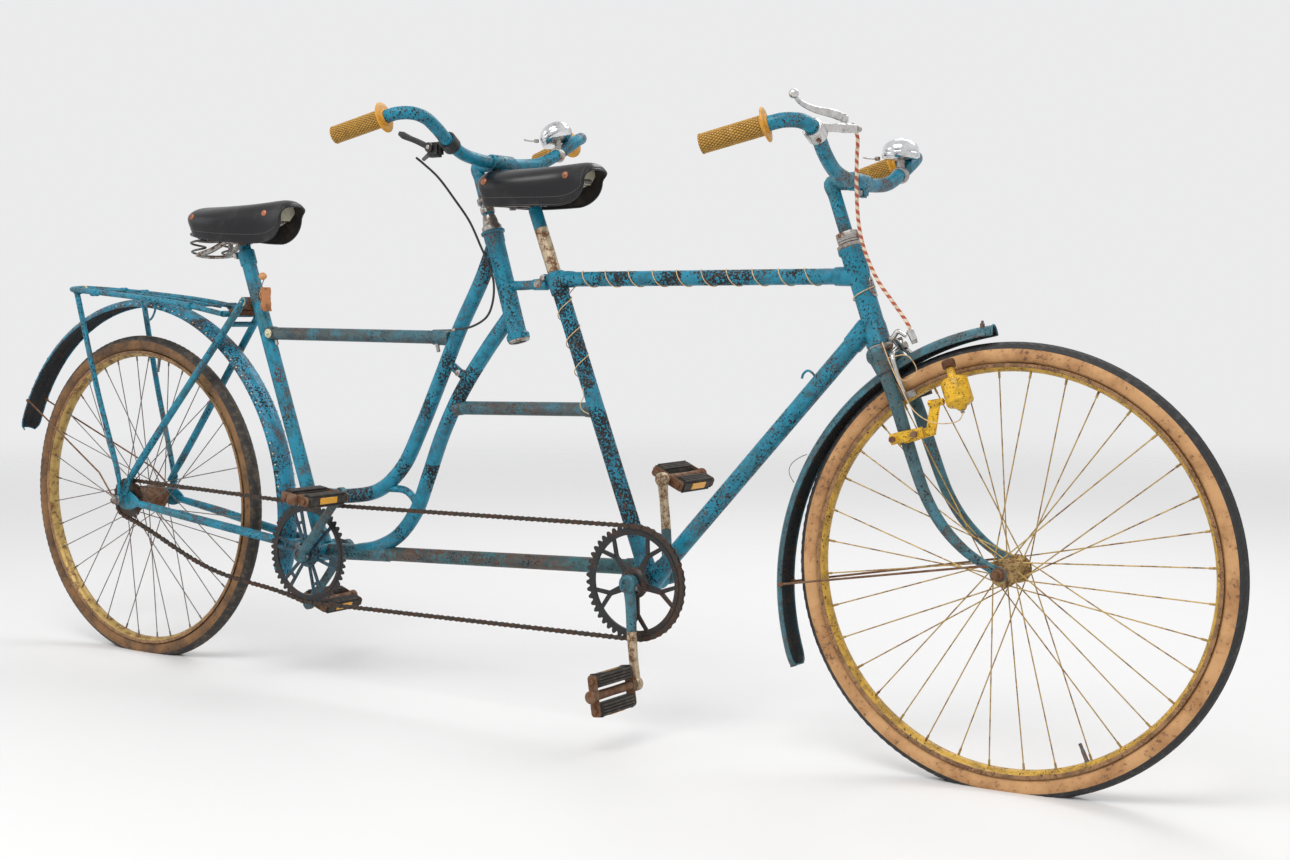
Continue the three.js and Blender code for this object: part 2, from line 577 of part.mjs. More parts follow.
const FORK_END = V(WHEELBASE, 0, AXLE_HEIGHT);
const BLADE = [
  [1744, 40, 668], [1758, 41, 640], [1783, 43, 580], [1806, 46, 515], [1832, 48, 452], [1860, 50, 410],
  [1896, 51.5, 376], [1926, 52, 358], [1942, 52, 350],
];
const bladeRoute = (side) =>
  new THREE.CatmullRomCurve3(BLADE.map(([x, y, z]) => V(x, side * y, z)), false, "centripetal");
const bladeSection = (wide, deep) =>
  new THREE.Shape(circle(1, 8).getPoints().map((p) => new THREE.Vector2(p.x * wide, p.y * deep)));
function fork() {
  const steerer = rod(alongHead(-20), alongHead(headLength + 22), 12.7, 12.7, 12);
  const race = turned(alongHead(-GAP), alongHead(-12), [[0, 0], [20, 0], [20, 6], [16, 12], [0, 12]], 12);
  const nut = turned(alongHead(headLength + GAP), alongHead(headLength + 30), [
    [0, 0], [21, 0], [21, 6], [17.5, 8], [17.5, 20], [0, 20],
  ], 12);
  const crown = join(
    rod(alongHead(-20).add(V(0, -42, 0)), alongHead(-20).add(V(0, 42, 0)), 12.5, 12.5, 10),
    ...[-1, 1].map((side) => rod(alongHead(-6).add(V(2, side * 40, 0)), V(1758, side * 41, 640), 14, 12.5, 10)),
  );
  const blades = [-1, 1].map((side) => join(
    sweep(bladeSection(8.5, 11), bladeRoute(side), 10),
    plate(circle(12, 10), side * 54 - 2.5, side * 54 + 2.5).translate(...FORK_END.toArray()),
  ));
  const quillBore = rod(alongHead(headLength - 70), alongHead(headLength + 30), 11.6, 11.6, 12);
  const axleBore = rod(V(WHEELBASE, -70, AXLE_HEIGHT), V(WHEELBASE, 70, AXLE_HEIGHT), 5.2, 5.2, 10);
  return cut(join(steerer, race, nut, crown, ...blades), quillBore, axleBore);
}
piece("fork", fork(), blue, steering);
piece("front_axle", join(
  rod(V(WHEELBASE, -76, AXLE_HEIGHT), V(WHEELBASE, 76, AXLE_HEIGHT), 4.5, 4.5, 10),
  rod(V(WHEELBASE, -67, AXLE_HEIGHT), V(WHEELBASE, -60, AXLE_HEIGHT), 8.5, 8.5, 6),
  rod(V(WHEELBASE, 60, AXLE_HEIGHT), V(WHEELBASE, 67, AXLE_HEIGHT), 8.5, 8.5, 6),
), steel, steering);

const FRONT_GUARD_CENTRE = [1980, 305];
const FRONT_GUARD_RADIUS = 410;
piece("front_mudguard", join(
  mudguardBlade(FRONT_GUARD_CENTRE, FRONT_GUARD_RADIUS, 99, 200, 13),
  ...guardStays(FRONT_GUARD_CENTRE, FRONT_GUARD_RADIUS, 181, WHEELBASE - 10, 70),
), dullBlue, steering);

// Front handlebar, turned a little further than the wheel.
const FRONT_CLAMP = V(1690, 0, 938);
const frontBar = new THREE.Group();
frontBar.position.copy(FRONT_CLAMP);
frontBar.quaternion.setFromAxisAngle(steerAxis, BAR_TWIST);
steering.add(frontBar);
const frontStem = stem(alongHead(headLength - 60), alongHead(headLength + 112), FRONT_CLAMP, 10.9);
frontStem.translate(...FRONT_CLAMP.clone().negate().toArray());
frontStem.applyQuaternion(frontBar.quaternion.clone().invert());
piece("front_handlebar", join(handlebar(), frontStem), dullBlue, frontBar);
piece("front_grip_right", grip(-1), amber, frontBar);
piece("front_grip_left", grip(1), amber, frontBar);
piece("front_bell", cut(bell(0), handlebarTool()), chrome, frontBar);
piece("front_bell_lever", bellLever(), steel, frontBar);

// Brake lever on the right: a bracket round the bend, and the lever in front of the grip.
const LEVER_PIVOT = V(38, -152, 72);
piece("brake_lever_bracket", cut(
  join(
    rod(V(15, -198, 50), V(14, -222, 62), 16, 16, 12),
    bar(V(20, -205, 60), V(38, -168, 64), 12, 8, V(0, 0, 1)),
    bar(V(36, -176, 62), V(42, -116, 68), 14, 8, V(0, 0, 1)),
  ),
  mirrored(handlebarTool()),
), aluminium, frontBar);
piece("brake_lever", join(
  bent([V(38, -146, 79), V(30, -176, 82), V(12, -212, 86), V(2, -238, 94), V(0, -246, 101)], 4, 6, 6),
  rod(LEVER_PIVOT.clone().add(V(0, 0, 1)), LEVER_PIVOT.clone().add(V(0, 0, 9)), 6, 6, 8),
  new THREE.SphereGeometry(7.5, 8, 6).translate(-1, -248, 104),
), aluminium, frontBar);

// Side-pull brake on the front of the crown. `s` runs down along the steering axis from its pivot bolt.
const ahead = V(0, 1, 0).cross(steerAxis).normalize();
const brakePivot = alongHead(-14).addScaledVector(ahead, 21);
const onBrake = (y, s, out = 0) =>
  brakePivot.clone().addScaledVector(steerAxis, -s).addScaledVector(ahead, out).add(V(0, y, 0));
const brakeArm = (side, out, top) => join(
  bent([onBrake(top, -14, out), onBrake(0, 0, out), onBrake(side * 31, 12, out), onBrake(side * 33, 44, out),
    onBrake(side * 26, 76, out)], 3.4, 12, 6),
  bar(onBrake(side * 20, 77, out - 16), onBrake(side * 20, 77, out + 16), 8, 9, V(0, 1, 0)),
);
piece("brake_arm_right", brakeArm(-1, 4, 22), aluminium, steering);
piece("brake_arm_left", brakeArm(1, 12, -26), aluminium, steering);
const BRAKE_CABLE = [
  [1725, -104, 1012], [1728, -95, 998], [1724, -86, 964], [1720, -75, 914], [1720, -63, 865], [1726, -55, 830],
  [1745, -47, 784], [1768, -40, 750], [1790, -33, 717], [1797, -30, 700],
];
piece("brake_cable", bent(BRAKE_CABLE.map((p) => V(...p)), 3, 24, 8), red, steering);

// Bottle dynamo on a clamp round the right fork blade.
const DYNAMO_TOP = V(1858, -40, 661);
const DYNAMO_FOOT = V(1890, -59, 588);
piece("dynamo_bracket", cut(
  join(
    bar(V(1782, -52, 538), V(1846, -60, 556), 14, 22, V(0, 0, 1)),
    bar(V(1842, -63, 552), V(1850, -66, 600), 16, 4, V(1, 0, 0)),
  ),
  sweep(bladeSection(8.5 + GAP, 11 + GAP), bladeRoute(-1), 10),
), yellow, steering);
const dynamoLength = DYNAMO_TOP.distanceTo(DYNAMO_FOOT);
piece("dynamo_body", join(
  turned(DYNAMO_FOOT, DYNAMO_TOP, [
    [0, 0], [6, 0], [9, 5], [20.5, 12], [21, 50], [9, 54], [5.5, dynamoLength - 12], [0, dynamoLength - 12],
  ], 12),
), yellow, steering);
piece("dynamo_roller", turned(DYNAMO_FOOT, DYNAMO_TOP, [
  [0, dynamoLength - 11.5], [10, dynamoLength - 11.5], [10.5, dynamoLength - 1], [7, dynamoLength + 1], [0, dynamoLength + 1],
], 12), rusty, steering);

// ---------------------------------------------------------------- wheels
function tyre() {
  const middle = TYRE_RADIUS - TYRE_SECTION;
  const section = Array.from({ length: 8 }, (_, i) => {
    const angle = Math.PI / 8 + (i * Math.PI) / 4;
    return [middle + (TYRE_SECTION * Math.cos(angle)) / Math.cos(Math.PI / 8), TYRE_SECTION * Math.sin(angle)];
  });
  section.push(section[0]);
  const ring = turned(V(0, 0, 0), V(0, 1, 0), section, 36);
  const ground = -TYRE_RADIUS + TYRE_FLAT;
  return cut(ring, box(V(-200, -50, ground - 60), V(200, 50, ground)));
}

// Rim, laced spokes and hub in one. `hub` is the hub's turned profile and `flange` the spokes' start:
// trailing spokes lie outside the flange and leading ones inside it, so that they pass each other.
function wheel(hub, flange, bore) {
  const w = RIM_HALF_WIDTH;
  const rim = turned(V(0, 0, 0), V(0, 1, 0), [
    [RIM_RADIUS, -w], [RIM_RADIUS + 8.4, -w], [RIM_RADIUS + 8.4, w], [RIM_RADIUS, w], [RIM_RADIUS, -w],
  ], 36);
  const spokes = Array.from({ length: SPOKES }, (_, i) => {
    const side = i % 2 ? 1 : -1;
    const at = (2 * Math.PI * (i + 0.5)) / SPOKES;
    const trailing = i % 4 < 2 ? 1 : -1;
    const root = at + trailing * SPOKE_CROSSING;
    const hole = V(flange.radius * Math.cos(root), side * (flange.y + 3 * trailing), flange.radius * Math.sin(root));
    const nipple = V((RIM_RADIUS + 3) * Math.cos(at), side * (4 + 1.4 * trailing), (RIM_RADIUS + 3) * Math.sin(at));
    return rod(hole, nipple, 1.1, 1.1, 3);
  });
  const core = turned(V(0, 0, 0), V(0, 1, 0), hub, 10);
  return cut(join(rim, core, ...spokes), rod(V(0, -60, 0), V(0, 60, 0), bore, bore, 8));
}

function placeWheel(name, geometry, tyreMaterial, material, parent, x) {
  const group = new THREE.Group();
  group.position.set(x, 0, AXLE_HEIGHT);
  parent.add(group);
  piece(name + "_wheel", geometry, material, group);
  piece(name + "_tyre", tyre(), tyreMaterial, group);
}
const FRONT_HUB = [
  [0, -43], [8, -43], [22, -36.5], [22, -30], [12, -28], [12, 28], [22, 30], [22, 36.5], [8, 43], [0, 43],
];
const REAR_HUB = [
  [0, -34], [32, -34], [32, -28], [25, -27], [25, 27], [32, 28], [32, 34], [14, 37], [14, 52], [0, 52],
];
placeWheel("front", wheel(FRONT_HUB, { radius: 19, y: 33.3 }, 5.6), gum, yellow, steering, WHEELBASE);
placeWheel("rear", wheel(REAR_HUB, { radius: 29, y: 31 }, 6.2), oldGum, steel, bicycle, 0);

// ---------------------------------------------------------------- chain drive
const pitchRadius = (teeth) => CHAIN_PITCH / (2 * Math.sin(Math.PI / teeth));
const RING_RADIUS = pitchRadius(RING_TEETH);
const SPROCKET_RADIUS = pitchRadius(SPROCKET_TEETH);

function toothedDisc(teeth, radius) {
  const points = [];
  for (let i = 0; i < teeth; i++) {
    const at = (2 * Math.PI * (i + 0.5)) / teeth;
    const step = (2 * Math.PI) / teeth;
    points.push(new THREE.Vector2((radius + 2.2) * Math.cos(at), (radius + 2.2) * Math.sin(at)));
    points.push(new THREE.Vector2((radius - 4) * Math.cos(at + step / 2), (radius - 4) * Math.sin(at + step / 2)));
  }
  return new THREE.Shape(points);
}

// The chain's closed course at `offset` outside its pitch line: a belt round the rings and the sprocket,
// slack under the rear chain stay. Its upper run only rests on the top of the rear ring.
const CHAIN_STOPS = [
  { at: FRONT_BRACKET, radius: RING_RADIUS },
  { at: REAR_BRACKET, radius: RING_RADIUS, rests: true },
  { at: [0, AXLE_HEIGHT], radius: SPROCKET_RADIUS, slack: CHAIN_SAG },
  { at: REAR_BRACKET, radius: RING_RADIUS },
];
function chainCourse(offset) {
  const next = (i) => CHAIN_STOPS[(i + 1) % CHAIN_STOPS.length];
  const leaving = CHAIN_STOPS.map((from, i) => {
    const to = next(i);
    const dx = to.at[0] - from.at[0];
    const dz = to.at[1] - from.at[1];
    return Math.atan2(dz, dx) - Math.acos((from.radius - to.radius) / Math.hypot(dx, dz));
  });
  const onStop = ({ at: [x, z], radius }, angle) =>
    new THREE.Vector2(x + (radius + offset) * Math.cos(angle), z + (radius + offset) * Math.sin(angle));
  return CHAIN_STOPS.flatMap((stop, i) => {
    if (stop.rests) return [onStop(stop, Math.PI / 2)];
    const start = leaving[(i + CHAIN_STOPS.length - 1) % CHAIN_STOPS.length];
    const turn = (leaving[i] - start + 4 * Math.PI) % (2 * Math.PI);
    const steps = Math.max(1, Math.ceil(turn / degrees(15)));
    const arc = Array.from({ length: steps + 1 }, (_, k) => onStop(stop, start + (turn * k) / steps));
    if (!stop.slack) return arc;
    const end = onStop(next(i), leaving[i]);
    const hang = Array.from({ length: 5 }, (_, k) => {
      const t = (k + 1) / 6;
      return arc[steps].clone().lerp(end, t).add(new THREE.Vector2(0, -stop.slack * Math.sin(Math.PI * t) ** 2));
    });
    return [...arc, ...hang];
  });
}
function chainBand(outer, inner, halfWidth) {
  const shape = new THREE.Shape(chainCourse(outer));
  shape.holes.push(new THREE.Path(chainCourse(inner)));
  return plate(shape, CHAIN_LINE - halfWidth, CHAIN_LINE + halfWidth);
}
piece("chain", cut(chainBand(4.4, -4.3, 4.2), chainBand(3.2, -9, 1.7)), oldChain);

function crankArm(side, angle) {
  const y = side * (CRANK_INNER + CRANK_THICKNESS / 2);
  const direction = V(Math.cos(degrees(angle)), 0, Math.sin(degrees(angle)));
  const end = direction.clone().multiplyScalar(CRANK_LENGTH).add(V(0, y + side * 6, 0));
  return join(
    rod(V(0, y, 0).addScaledVector(direction, 4), end.clone().addScaledVector(direction, 9), 10.5, 8.5, 8),
    rod(V(0, side * (CRANK_INNER - 2), 0), V(0, side * (CRANK_INNER + 15), 0), 16, 13, 10),
    rod(end, end.clone().add(V(0, side * 122, 0)), 4, 4, 6),
  );
}
function crankset(angle, arms) {
  const disc = plate(toothedDisc(RING_TEETH, RING_RADIUS), CHAIN_LINE - 1.2, CHAIN_LINE + 1.2);
  const windows = Array.from({ length: arms }, (_, i) => {
    const from = ((i + 0.16) * 2 * Math.PI) / arms + degrees(angle);
    const to = ((i + 0.84) * 2 * Math.PI) / arms + degrees(angle);
    const shape = new THREE.Shape();
    shape.absarc(0, 0, RING_RADIUS - 13, from, to, false);
    shape.absarc(0, 0, 38, to - 0.08, from + 0.08, true);
    return plate(shape, CHAIN_LINE - 3, CHAIN_LINE + 3, 4);
  });
  return join(
    cut(disc, ...windows),
    rod(V(0, CHAIN_LINE - 12, 0), V(0, CHAIN_LINE + 2, 0), 20, 24, 12),
    rod(V(0, -CRANK_INNER, 0), V(0, CRANK_INNER, 0), 8, 8, 10),
    crankArm(-1, angle),
    crankArm(1, angle + 180),
  );
}

// A pedal about its own spindle: a barrel, two end plates and two rubber blocks.
function pedal(side) {
  const span = (a, b) => [Math.min(side * a, side * b), Math.max(side * a, side * b)];
  const slab = (x, half, z, [y0, y1]) => box(V(x - half, y0, -z), V(x + half, y1, z));
  return cut(join(
    rod(V(0, side * 2, 0), V(0, side * 126, 0), 9.5, 9.5, 6),
    slab(0, 33, 9, span(6, 9)),
    slab(0, 33, 9, span(110, 113)),
    slab(-24, 12, 12, span(9, 110)),
    slab(24, 12, 12, span(9, 110)),
  ), rod(V(0, 0, 0), V(0, side * 122, 0), 5.2, 5.2, 6));
}

function placeCrank(name, [x, z], angle, arms, pedalTilt) {
  const group = new THREE.Group();
  group.position.set(x, 0, z);
  bicycle.add(group);
  piece(name + "_crankset", crankset(angle, arms), oldChain, group);
  [-1, 1].forEach((side) => {
    const at = degrees(side < 0 ? angle : angle + 180);
    const mesh = piece(`${name}_pedal_${side < 0 ? "right" : "left"}`, pedal(side), black, group);
    const y = side * (CRANK_INNER + CRANK_THICKNESS / 2 + 6 + 9);
    mesh.position.set(CRANK_LENGTH * Math.cos(at), y, CRANK_LENGTH * Math.sin(at));
    mesh.rotation.y = degrees(side < 0 ? pedalTilt[0] : pedalTilt[1]);
  });
}
placeCrank("front", FRONT_BRACKET, FRONT_CRANK_ANGLE, 5, [82, 25]);
placeCrank("rear", REAR_BRACKET, REAR_CRANK_ANGLE, 6, [8, 20]);

const sprocket = new THREE.Group();
sprocket.position.set(0, 0, AXLE_HEIGHT);
bicycle.add(sprocket);
piece("rear_sprocket", cut(
  join(
    plate(toothedDisc(SPROCKET_TEETH, SPROCKET_RADIUS), CHAIN_LINE - 1.2, CHAIN_LINE + 1.2),
    rod(V(0, -55, 0), V(0, -39, 0), 17, 17, 14),
  ),
  rod(V(0, -60, 0), V(0, -30, 0), 6.2, 6.2, 12),
), oldChain, sprocket);

// ---------------------------------------------------------------- cords and the tag
// Turns of wire round a straight tube from a to b, as points of a helix of the given radius.
function wound(a, b, radius, turns, perTurn = 8) {
  const along = b.clone().sub(a).normalize();
  const side = V(0, 1, 0);
  const up = along.clone().cross(side).normalize();
  return Array.from({ length: turns * perTurn + 1 }, (_, i) => {
    const angle = (2 * Math.PI * i) / perTurn;
    return a.clone().lerp(b, i / (turns * perTurn))
      .addScaledVector(side, radius * Math.cos(angle)).addScaledVector(up, radius * Math.sin(angle));
  });
}
const SHIFTER_CABLE = [
  [926, -170, 1004], [924, -150, 996], [932, -122, 975], [938, -84, 938], [944, -48, 898], [955, -32, 856],
  [968, -25, 822], [977, -23, 792], [974, -22, 756], [960, -21, 730], [925, -20, 712], [884, -19, 706],
];
piece("shifter_cable", bent(SHIFTER_CABLE.map((p) => V(...p)), 2, 26, 8), black);

const WIRE_TURNS = 5; // steps in each turn of the lighting wire
piece("lighting_wire", bent([
  ...wound(alongHead(74), alongHead(96), 27, 1, WIRE_TURNS),
  ...wound(V(1634, 0, 792.3), V(1146, 0, 794.8), 18.4, 10, WIRE_TURNS).slice(1),
  ...wound(V(1112, 0, 766), V(1166, 0, 618), 21, 3, WIRE_TURNS),
], 0.9, 78, 4), tan);
piece("dynamo_wire", bent([
  [1752, -40, 688], [1768, -56, 664], [1792, -64, 622], [1820, -74, 584], [1856, -82, 568], [1888, -72, 572],
  [1892, -62, 584],
].map((p) => V(...p)), 1, 12, 4), tan, steering);
piece("leather_tag", join(
  box(V(381, -25, 742), V(391, 5, 790)),
  rod(V(386, -10, 788), V(378, -10, 806), 2, 2, 6),
  new THREE.SphereGeometry(8, 8, 6).translate(376, -10, 810),
), tanLeather);

// ---------------------------------------------------------------- origin
const bounds = new THREE.Box3().setFromObject(bicycle, true);
const middle = bounds.getCenter(V(0, 0, 0));
bicycle.position.set(-middle.x, -middle.y, -bounds.min.z);

export default placed;
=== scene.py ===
# A two-seat bicycle: a diamond frame in front joined to a loop frame behind, old and much repainted.
# Shapes are drawn in the CAD's own millimetres (rear axle at X = 0, +X forward, +Y left, +Z up) and moved to the
# row frame by the matrices below. Every piece stands for one CAD node and rides on that node's body.
import json
import math

import bmesh
import bpy
import numpy as np
from mathutils import Matrix, Vector


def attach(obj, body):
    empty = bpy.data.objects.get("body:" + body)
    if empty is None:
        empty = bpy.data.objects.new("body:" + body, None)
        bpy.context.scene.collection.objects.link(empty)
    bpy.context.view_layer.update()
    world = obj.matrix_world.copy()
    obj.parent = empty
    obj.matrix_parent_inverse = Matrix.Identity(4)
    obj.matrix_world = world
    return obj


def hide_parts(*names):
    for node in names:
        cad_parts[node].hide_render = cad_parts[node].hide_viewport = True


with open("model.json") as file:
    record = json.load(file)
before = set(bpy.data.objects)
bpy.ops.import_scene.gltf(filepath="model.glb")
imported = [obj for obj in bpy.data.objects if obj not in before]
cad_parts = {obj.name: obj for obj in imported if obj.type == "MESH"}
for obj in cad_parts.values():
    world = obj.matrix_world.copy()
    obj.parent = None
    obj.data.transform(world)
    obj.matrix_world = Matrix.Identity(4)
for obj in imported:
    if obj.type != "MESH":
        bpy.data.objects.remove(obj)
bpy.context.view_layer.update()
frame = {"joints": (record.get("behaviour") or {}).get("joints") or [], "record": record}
record = frame["record"]
BODY_OF = {n: body for body, nodes in record["behaviour"]["bodies"].items() for n in nodes}
HUB = next(j["pos_m"] for j in frame["joints"] if j["name"] == "rear_wheel_spin")

AXLE = 345.0
WHEELBASE = 1950.0
FRONT_BRACKET, REAR_BRACKET = (1298, 277), (527, 269)
FRONT_SEAT_TOP, REAR_SEAT_TOP = (1097, 806), (318, 862)
FRONT_SADDLE, REAR_SADDLE = (1058, 938), (310, 893)
CRANK_LENGTH = 168
POST_RADIUS, POST_INSERTED = 12.2, 110
HEAD_TOP, HEAD_BOTTOM = np.array([1680.0, 0, 836]), np.array([1732.0, 0, 684])
HEAD_LENGTH = float(np.linalg.norm(HEAD_TOP - HEAD_BOTTOM))
AXIS = (HEAD_TOP - HEAD_BOTTOM) / HEAD_LENGTH
AHEAD = np.cross([0, 1, 0], AXIS)
SECOND_TOP, SECOND_BOTTOM = np.array([957.0, 0, 884]), np.array([1016.0, 0, 688])
SECOND_AXIS = (SECOND_TOP - SECOND_BOTTOM) / np.linalg.norm(SECOND_TOP - SECOND_BOTTOM)
CHAIN_Y = -45.0
PITCH = 12.7


def move(x, y=0.0, z=0.0):
    return Matrix.Translation((x, y, z))


def turn(degrees, axis):
    return Matrix.Rotation(math.radians(degrees), 4, Vector(axis))


ROW = Matrix.Translation(Vector(HUB) - Vector((0, 0, AXLE / 1000))) @ Matrix.Scale(0.001, 4)
STEER = ROW @ move(*HEAD_BOTTOM) @ turn(4, AXIS) @ move(*-HEAD_BOTTOM)
FRONT_BAR = STEER @ move(1690, 0, 938) @ turn(1, AXIS)
REAR_BAR = ROW @ move(975, 0, 1004)
FRONT_WHEEL = STEER @ move(WHEELBASE, 0, AXLE)
REAR_WHEEL = ROW @ move(0, 0, AXLE)

# ---------------------------------------------------------------- shapes


class Shape:
    """Vertices, faces, UVs and material numbers of one piece, gathered part by part. Material 0 unless told."""

    def __init__(self):
        self.verts, self.faces, self.uvs, self.mats, self.count = [], [], [], [], 0

    def add(self, part, mat=0, place=None):
        verts, faces, uvs = part
        verts = np.asarray(verts, float)
        if place is not None:
            m = np.array(place)
            verts = verts @ m[:3, :3].T + m[:3, 3]
        self.verts.append(verts)
        self.faces += [tuple(i + self.count for i in f) for f in faces]
        self.uvs += uvs if uvs is not None else [(0.0, 0.0)] * sum(len(f) for f in faces)
        self.mats += [mat] * len(faces)
        self.count += len(verts)
        return self


def grid_faces(rings, sides, close_rings=False, close_sides=True):
    """Quads of a grid of rings by sides, with UVs that count sides across and rings along."""
    faces, uvs = [], []
    for i in range(rings if close_rings else rings - 1):
        a, b = i * sides, ((i + 1) % rings) * sides
        for j in range(sides if close_sides else sides - 1):
            k = (j + 1) % sides
            faces.append((a + j, a + k, b + k, b + j))
            uvs.append((j, i))
    return faces, uvs


def curve(points, count):
    """Evenly spaced points on the centripetal Catmull-Rom curve through the points."""
    p = np.asarray(points, float)
    p = np.vstack([2 * p[0] - p[1], p, 2 * p[-1] - p[-2]])
    fine = []
    for i in range(1, len(p) - 2):
        t = [0.0]
        for a, b in zip(p[i - 1:i + 2], p[i:i + 3]):
            t.append(t[-1] + max(np.linalg.norm(b - a), 1e-9) ** 0.5)
        for u in np.linspace(t[1], t[2], 24, endpoint=False):
            a1, a2, a3 = (
                (t[k + 1] - u) / (t[k + 1] - t[k]) * p[i - 1 + k] + (u - t[k]) / (t[k + 1] - t[k]) * p[i + k]
                for k in range(3)
            )
            b1 = (t[2] - u) / (t[2] - t[0]) * a1 + (u - t[0]) / (t[2] - t[0]) * a2
            b2 = (t[3] - u) / (t[3] - t[1]) * a2 + (u - t[1]) / (t[3] - t[1]) * a3
            fine.append((t[2] - u) / (t[2] - t[1]) * b1 + (u - t[1]) / (t[2] - t[1]) * b2)
    fine = np.array(fine + [p[-2]])
    return even(fine, count)


def even(points, count):
    """The same number of points at equal steps along a polyline."""
    p = np.asarray(points, float)
    reach = np.concatenate([[0], np.cumsum(np.linalg.norm(np.diff(p, axis=0), axis=1))])
    return np.stack([np.interp(np.linspace(0, reach[-1], count), reach, p[:, k]) for k in range(3)], 1)


def tube(points, radius, sides=24, closed=False, flat=1.0, up=None, twist=0.0):
    """A round or flattened bar along the points, closed at its ends. radius may be one number or one per point."""
    p = np.asarray(points, float)
    n = len(p)
    r = np.broadcast_to(np.asarray(radius, float), (n,))
    ahead = np.roll(p, -1, 0) - np.roll(p, 1, 0)
    if not closed:
        ahead[0], ahead[-1] = p[1] - p[0], p[-1] - p[-2]
    ahead /= np.linalg.norm(ahead, axis=1)[:, None]
    guess = np.array(up if up is not None else ((0, 1, 0) if abs(ahead[0][1]) < 0.9 else (1, 0, 0)), float)
    verts = []
    for i in range(n):
        across = guess - ahead[i] * (guess @ ahead[i])
        across /= np.linalg.norm(across)
        guess = np.array(up, float) if up is not None else across
        other = np.cross(ahead[i], across)
        angle = 2 * np.pi * np.arange(sides) / sides + twist * i
        verts.append(p[i] + r[i] * (np.cos(angle)[:, None] * across + flat * np.sin(angle)[:, None] * other))
    faces, cells = grid_faces(n, sides, closed)
    step = np.concatenate([[0], np.cumsum(np.linalg.norm(np.diff(p, axis=0), axis=1))])
    step = np.append(step, step[-1] + np.linalg.norm(p[0] - p[-1]))
    uvs = []
    for j, i in cells:
        u0, u1 = j / sides, (j + 1) / sides
        v0, v1 = step[i] / 1000, step[i + 1] / 1000
        uvs += [(u0, v0), (u1, v0), (u1, v1), (u0, v1)]
    if not closed:
        faces += [tuple(range(sides))[::-1], tuple(range((n - 1) * sides, n * sides))]
        uvs += [(0.0, 0.0)] * (2 * sides)
    return np.vstack(verts), faces, uvs


def bent(points, radius, steps=48, sides=24, **more):
    return tube(curve(points, steps), radius, sides, **more)


def taper(count, stations, radii):
    """A radius for each of count points, given at some of them."""
    return np.interp(np.arange(count), stations, radii)


def lathe(profile, a, b, sides=40):
    """A turned piece: pairs of radius and distance from a towards b. A radius of 0 closes it with a point."""
    a, along = np.array(a, float), np.array(b, float) - np.array(a, float)
    along /= np.linalg.norm(along)
    across = np.cross(along, (0.0, 1, 0) if abs(along[1]) < 0.9 else (1.0, 0, 0))
    across /= np.linalg.norm(across)
    other = np.cross(along, across)
    looped = profile[0] == profile[-1] and profile[0][0] > 0
    profile = profile[:-1] if looped else profile
    angle = 2 * np.pi * np.arange(sides) / sides
    spin = np.cos(angle)[:, None] * across + np.sin(angle)[:, None] * other
    verts, starts = [], []
    for r, d in profile:
        starts.append(len(verts))
        verts += [a + along * d] if r <= 0 else list(a + along * d + r * spin)
    faces, uvs, reach = [], [], 0.0
    pairs = [(i, (i + 1) % len(profile)) for i in range(len(profile) if looped else len(profile) - 1)]
    for i, k in pairs:
        gap = math.dist(profile[i], profile[k]) / 1000
        for j in range(sides):
            m = (j + 1) % sides
            low = [starts[i]] if profile[i][0] <= 0 else [starts[i] + j, starts[i] + m]
            high = [starts[k]] if profile[k][0] <= 0 else [starts[k] + m, starts[k] + j]
            face = low + high
            if len(face) < 3:
                continue
            faces.append(tuple(face))
            uvs += [(j / sides if c in (0, len(face) - 1) else (j + 1) / sides, reach + (gap if c > 1 else 0))
                    for c in range(len(face))]
        reach += gap
    return np.array(verts), faces, uvs


def rod(a, b, radius, end=None, edge=0.8, sides=32):
    """A straight round bar with eased edges, which may taper."""
    end = radius if end is None else end
    length = math.dist(a, b)
    return lathe([(0, 0), (radius - edge, 0), (radius, edge), (end, length - edge), (end - edge, length), (0, length)],
                 a, b, sides)


def from_bmesh(bm):
    bm.verts.ensure_lookup_table()
    bm.verts.index_update()
    made = np.array([v.co[:] for v in bm.verts]), [tuple(v.index for v in f.verts) for f in bm.faces], None
    bm.free()
    return made


def slab(low, high, edge=1.0, segments=2):
    """A block with rounded edges."""
    bm = bmesh.new()
    bmesh.ops.create_cube(bm, size=1)
    size, middle = Vector(high) - Vector(low), (Vector(high) + Vector(low)) / 2
    for v in bm.verts:
        v.co = Vector(v.co[k] * size[k] + middle[k] for k in range(3))
    bmesh.ops.bevel(bm, geom=bm.edges[:], offset=edge, segments=segments, affect="EDGES")
    return from_bmesh(bm)


def bar(a, b, width, thickness, across, edge=0.8):
    """A block whose long side runs from a to b."""
    a, b = Vector(a), Vector(b)
    x = (b - a).normalized()
    z = x.cross(Vector(across)).normalized()
    y = z.cross(x)
    verts, faces, uvs = slab((-(b - a).length / 2, -width / 2, -thickness / 2),
                             ((b - a).length / 2, width / 2, thickness / 2), edge)
    m = np.array([x, y, z]).T
    return verts @ m.T + np.array((a + b) / 2), faces, uvs


def plate(outline, y0, y1, edge=0.6):
    """A flat plate drawn in X and Z, thick along Y, with eased edges."""
    bm = bmesh.new()
    low = [bm.verts.new((x, y0, z)) for x, z in outline]
    face = bm.faces.new(low)
    grown = bmesh.ops.extrude_face_region(bm, geom=[face])
    for v in grown["geom"]:
        if isinstance(v, bmesh.types.BMVert):
            v.co.y = y1
    rims = [e for e in bm.edges if abs(e.verts[0].co.y - e.verts[1].co.y) < 1e-6]
    bmesh.ops.bevel(bm, geom=rims, offset=edge, segments=1, affect="EDGES")
    return from_bmesh(bm)


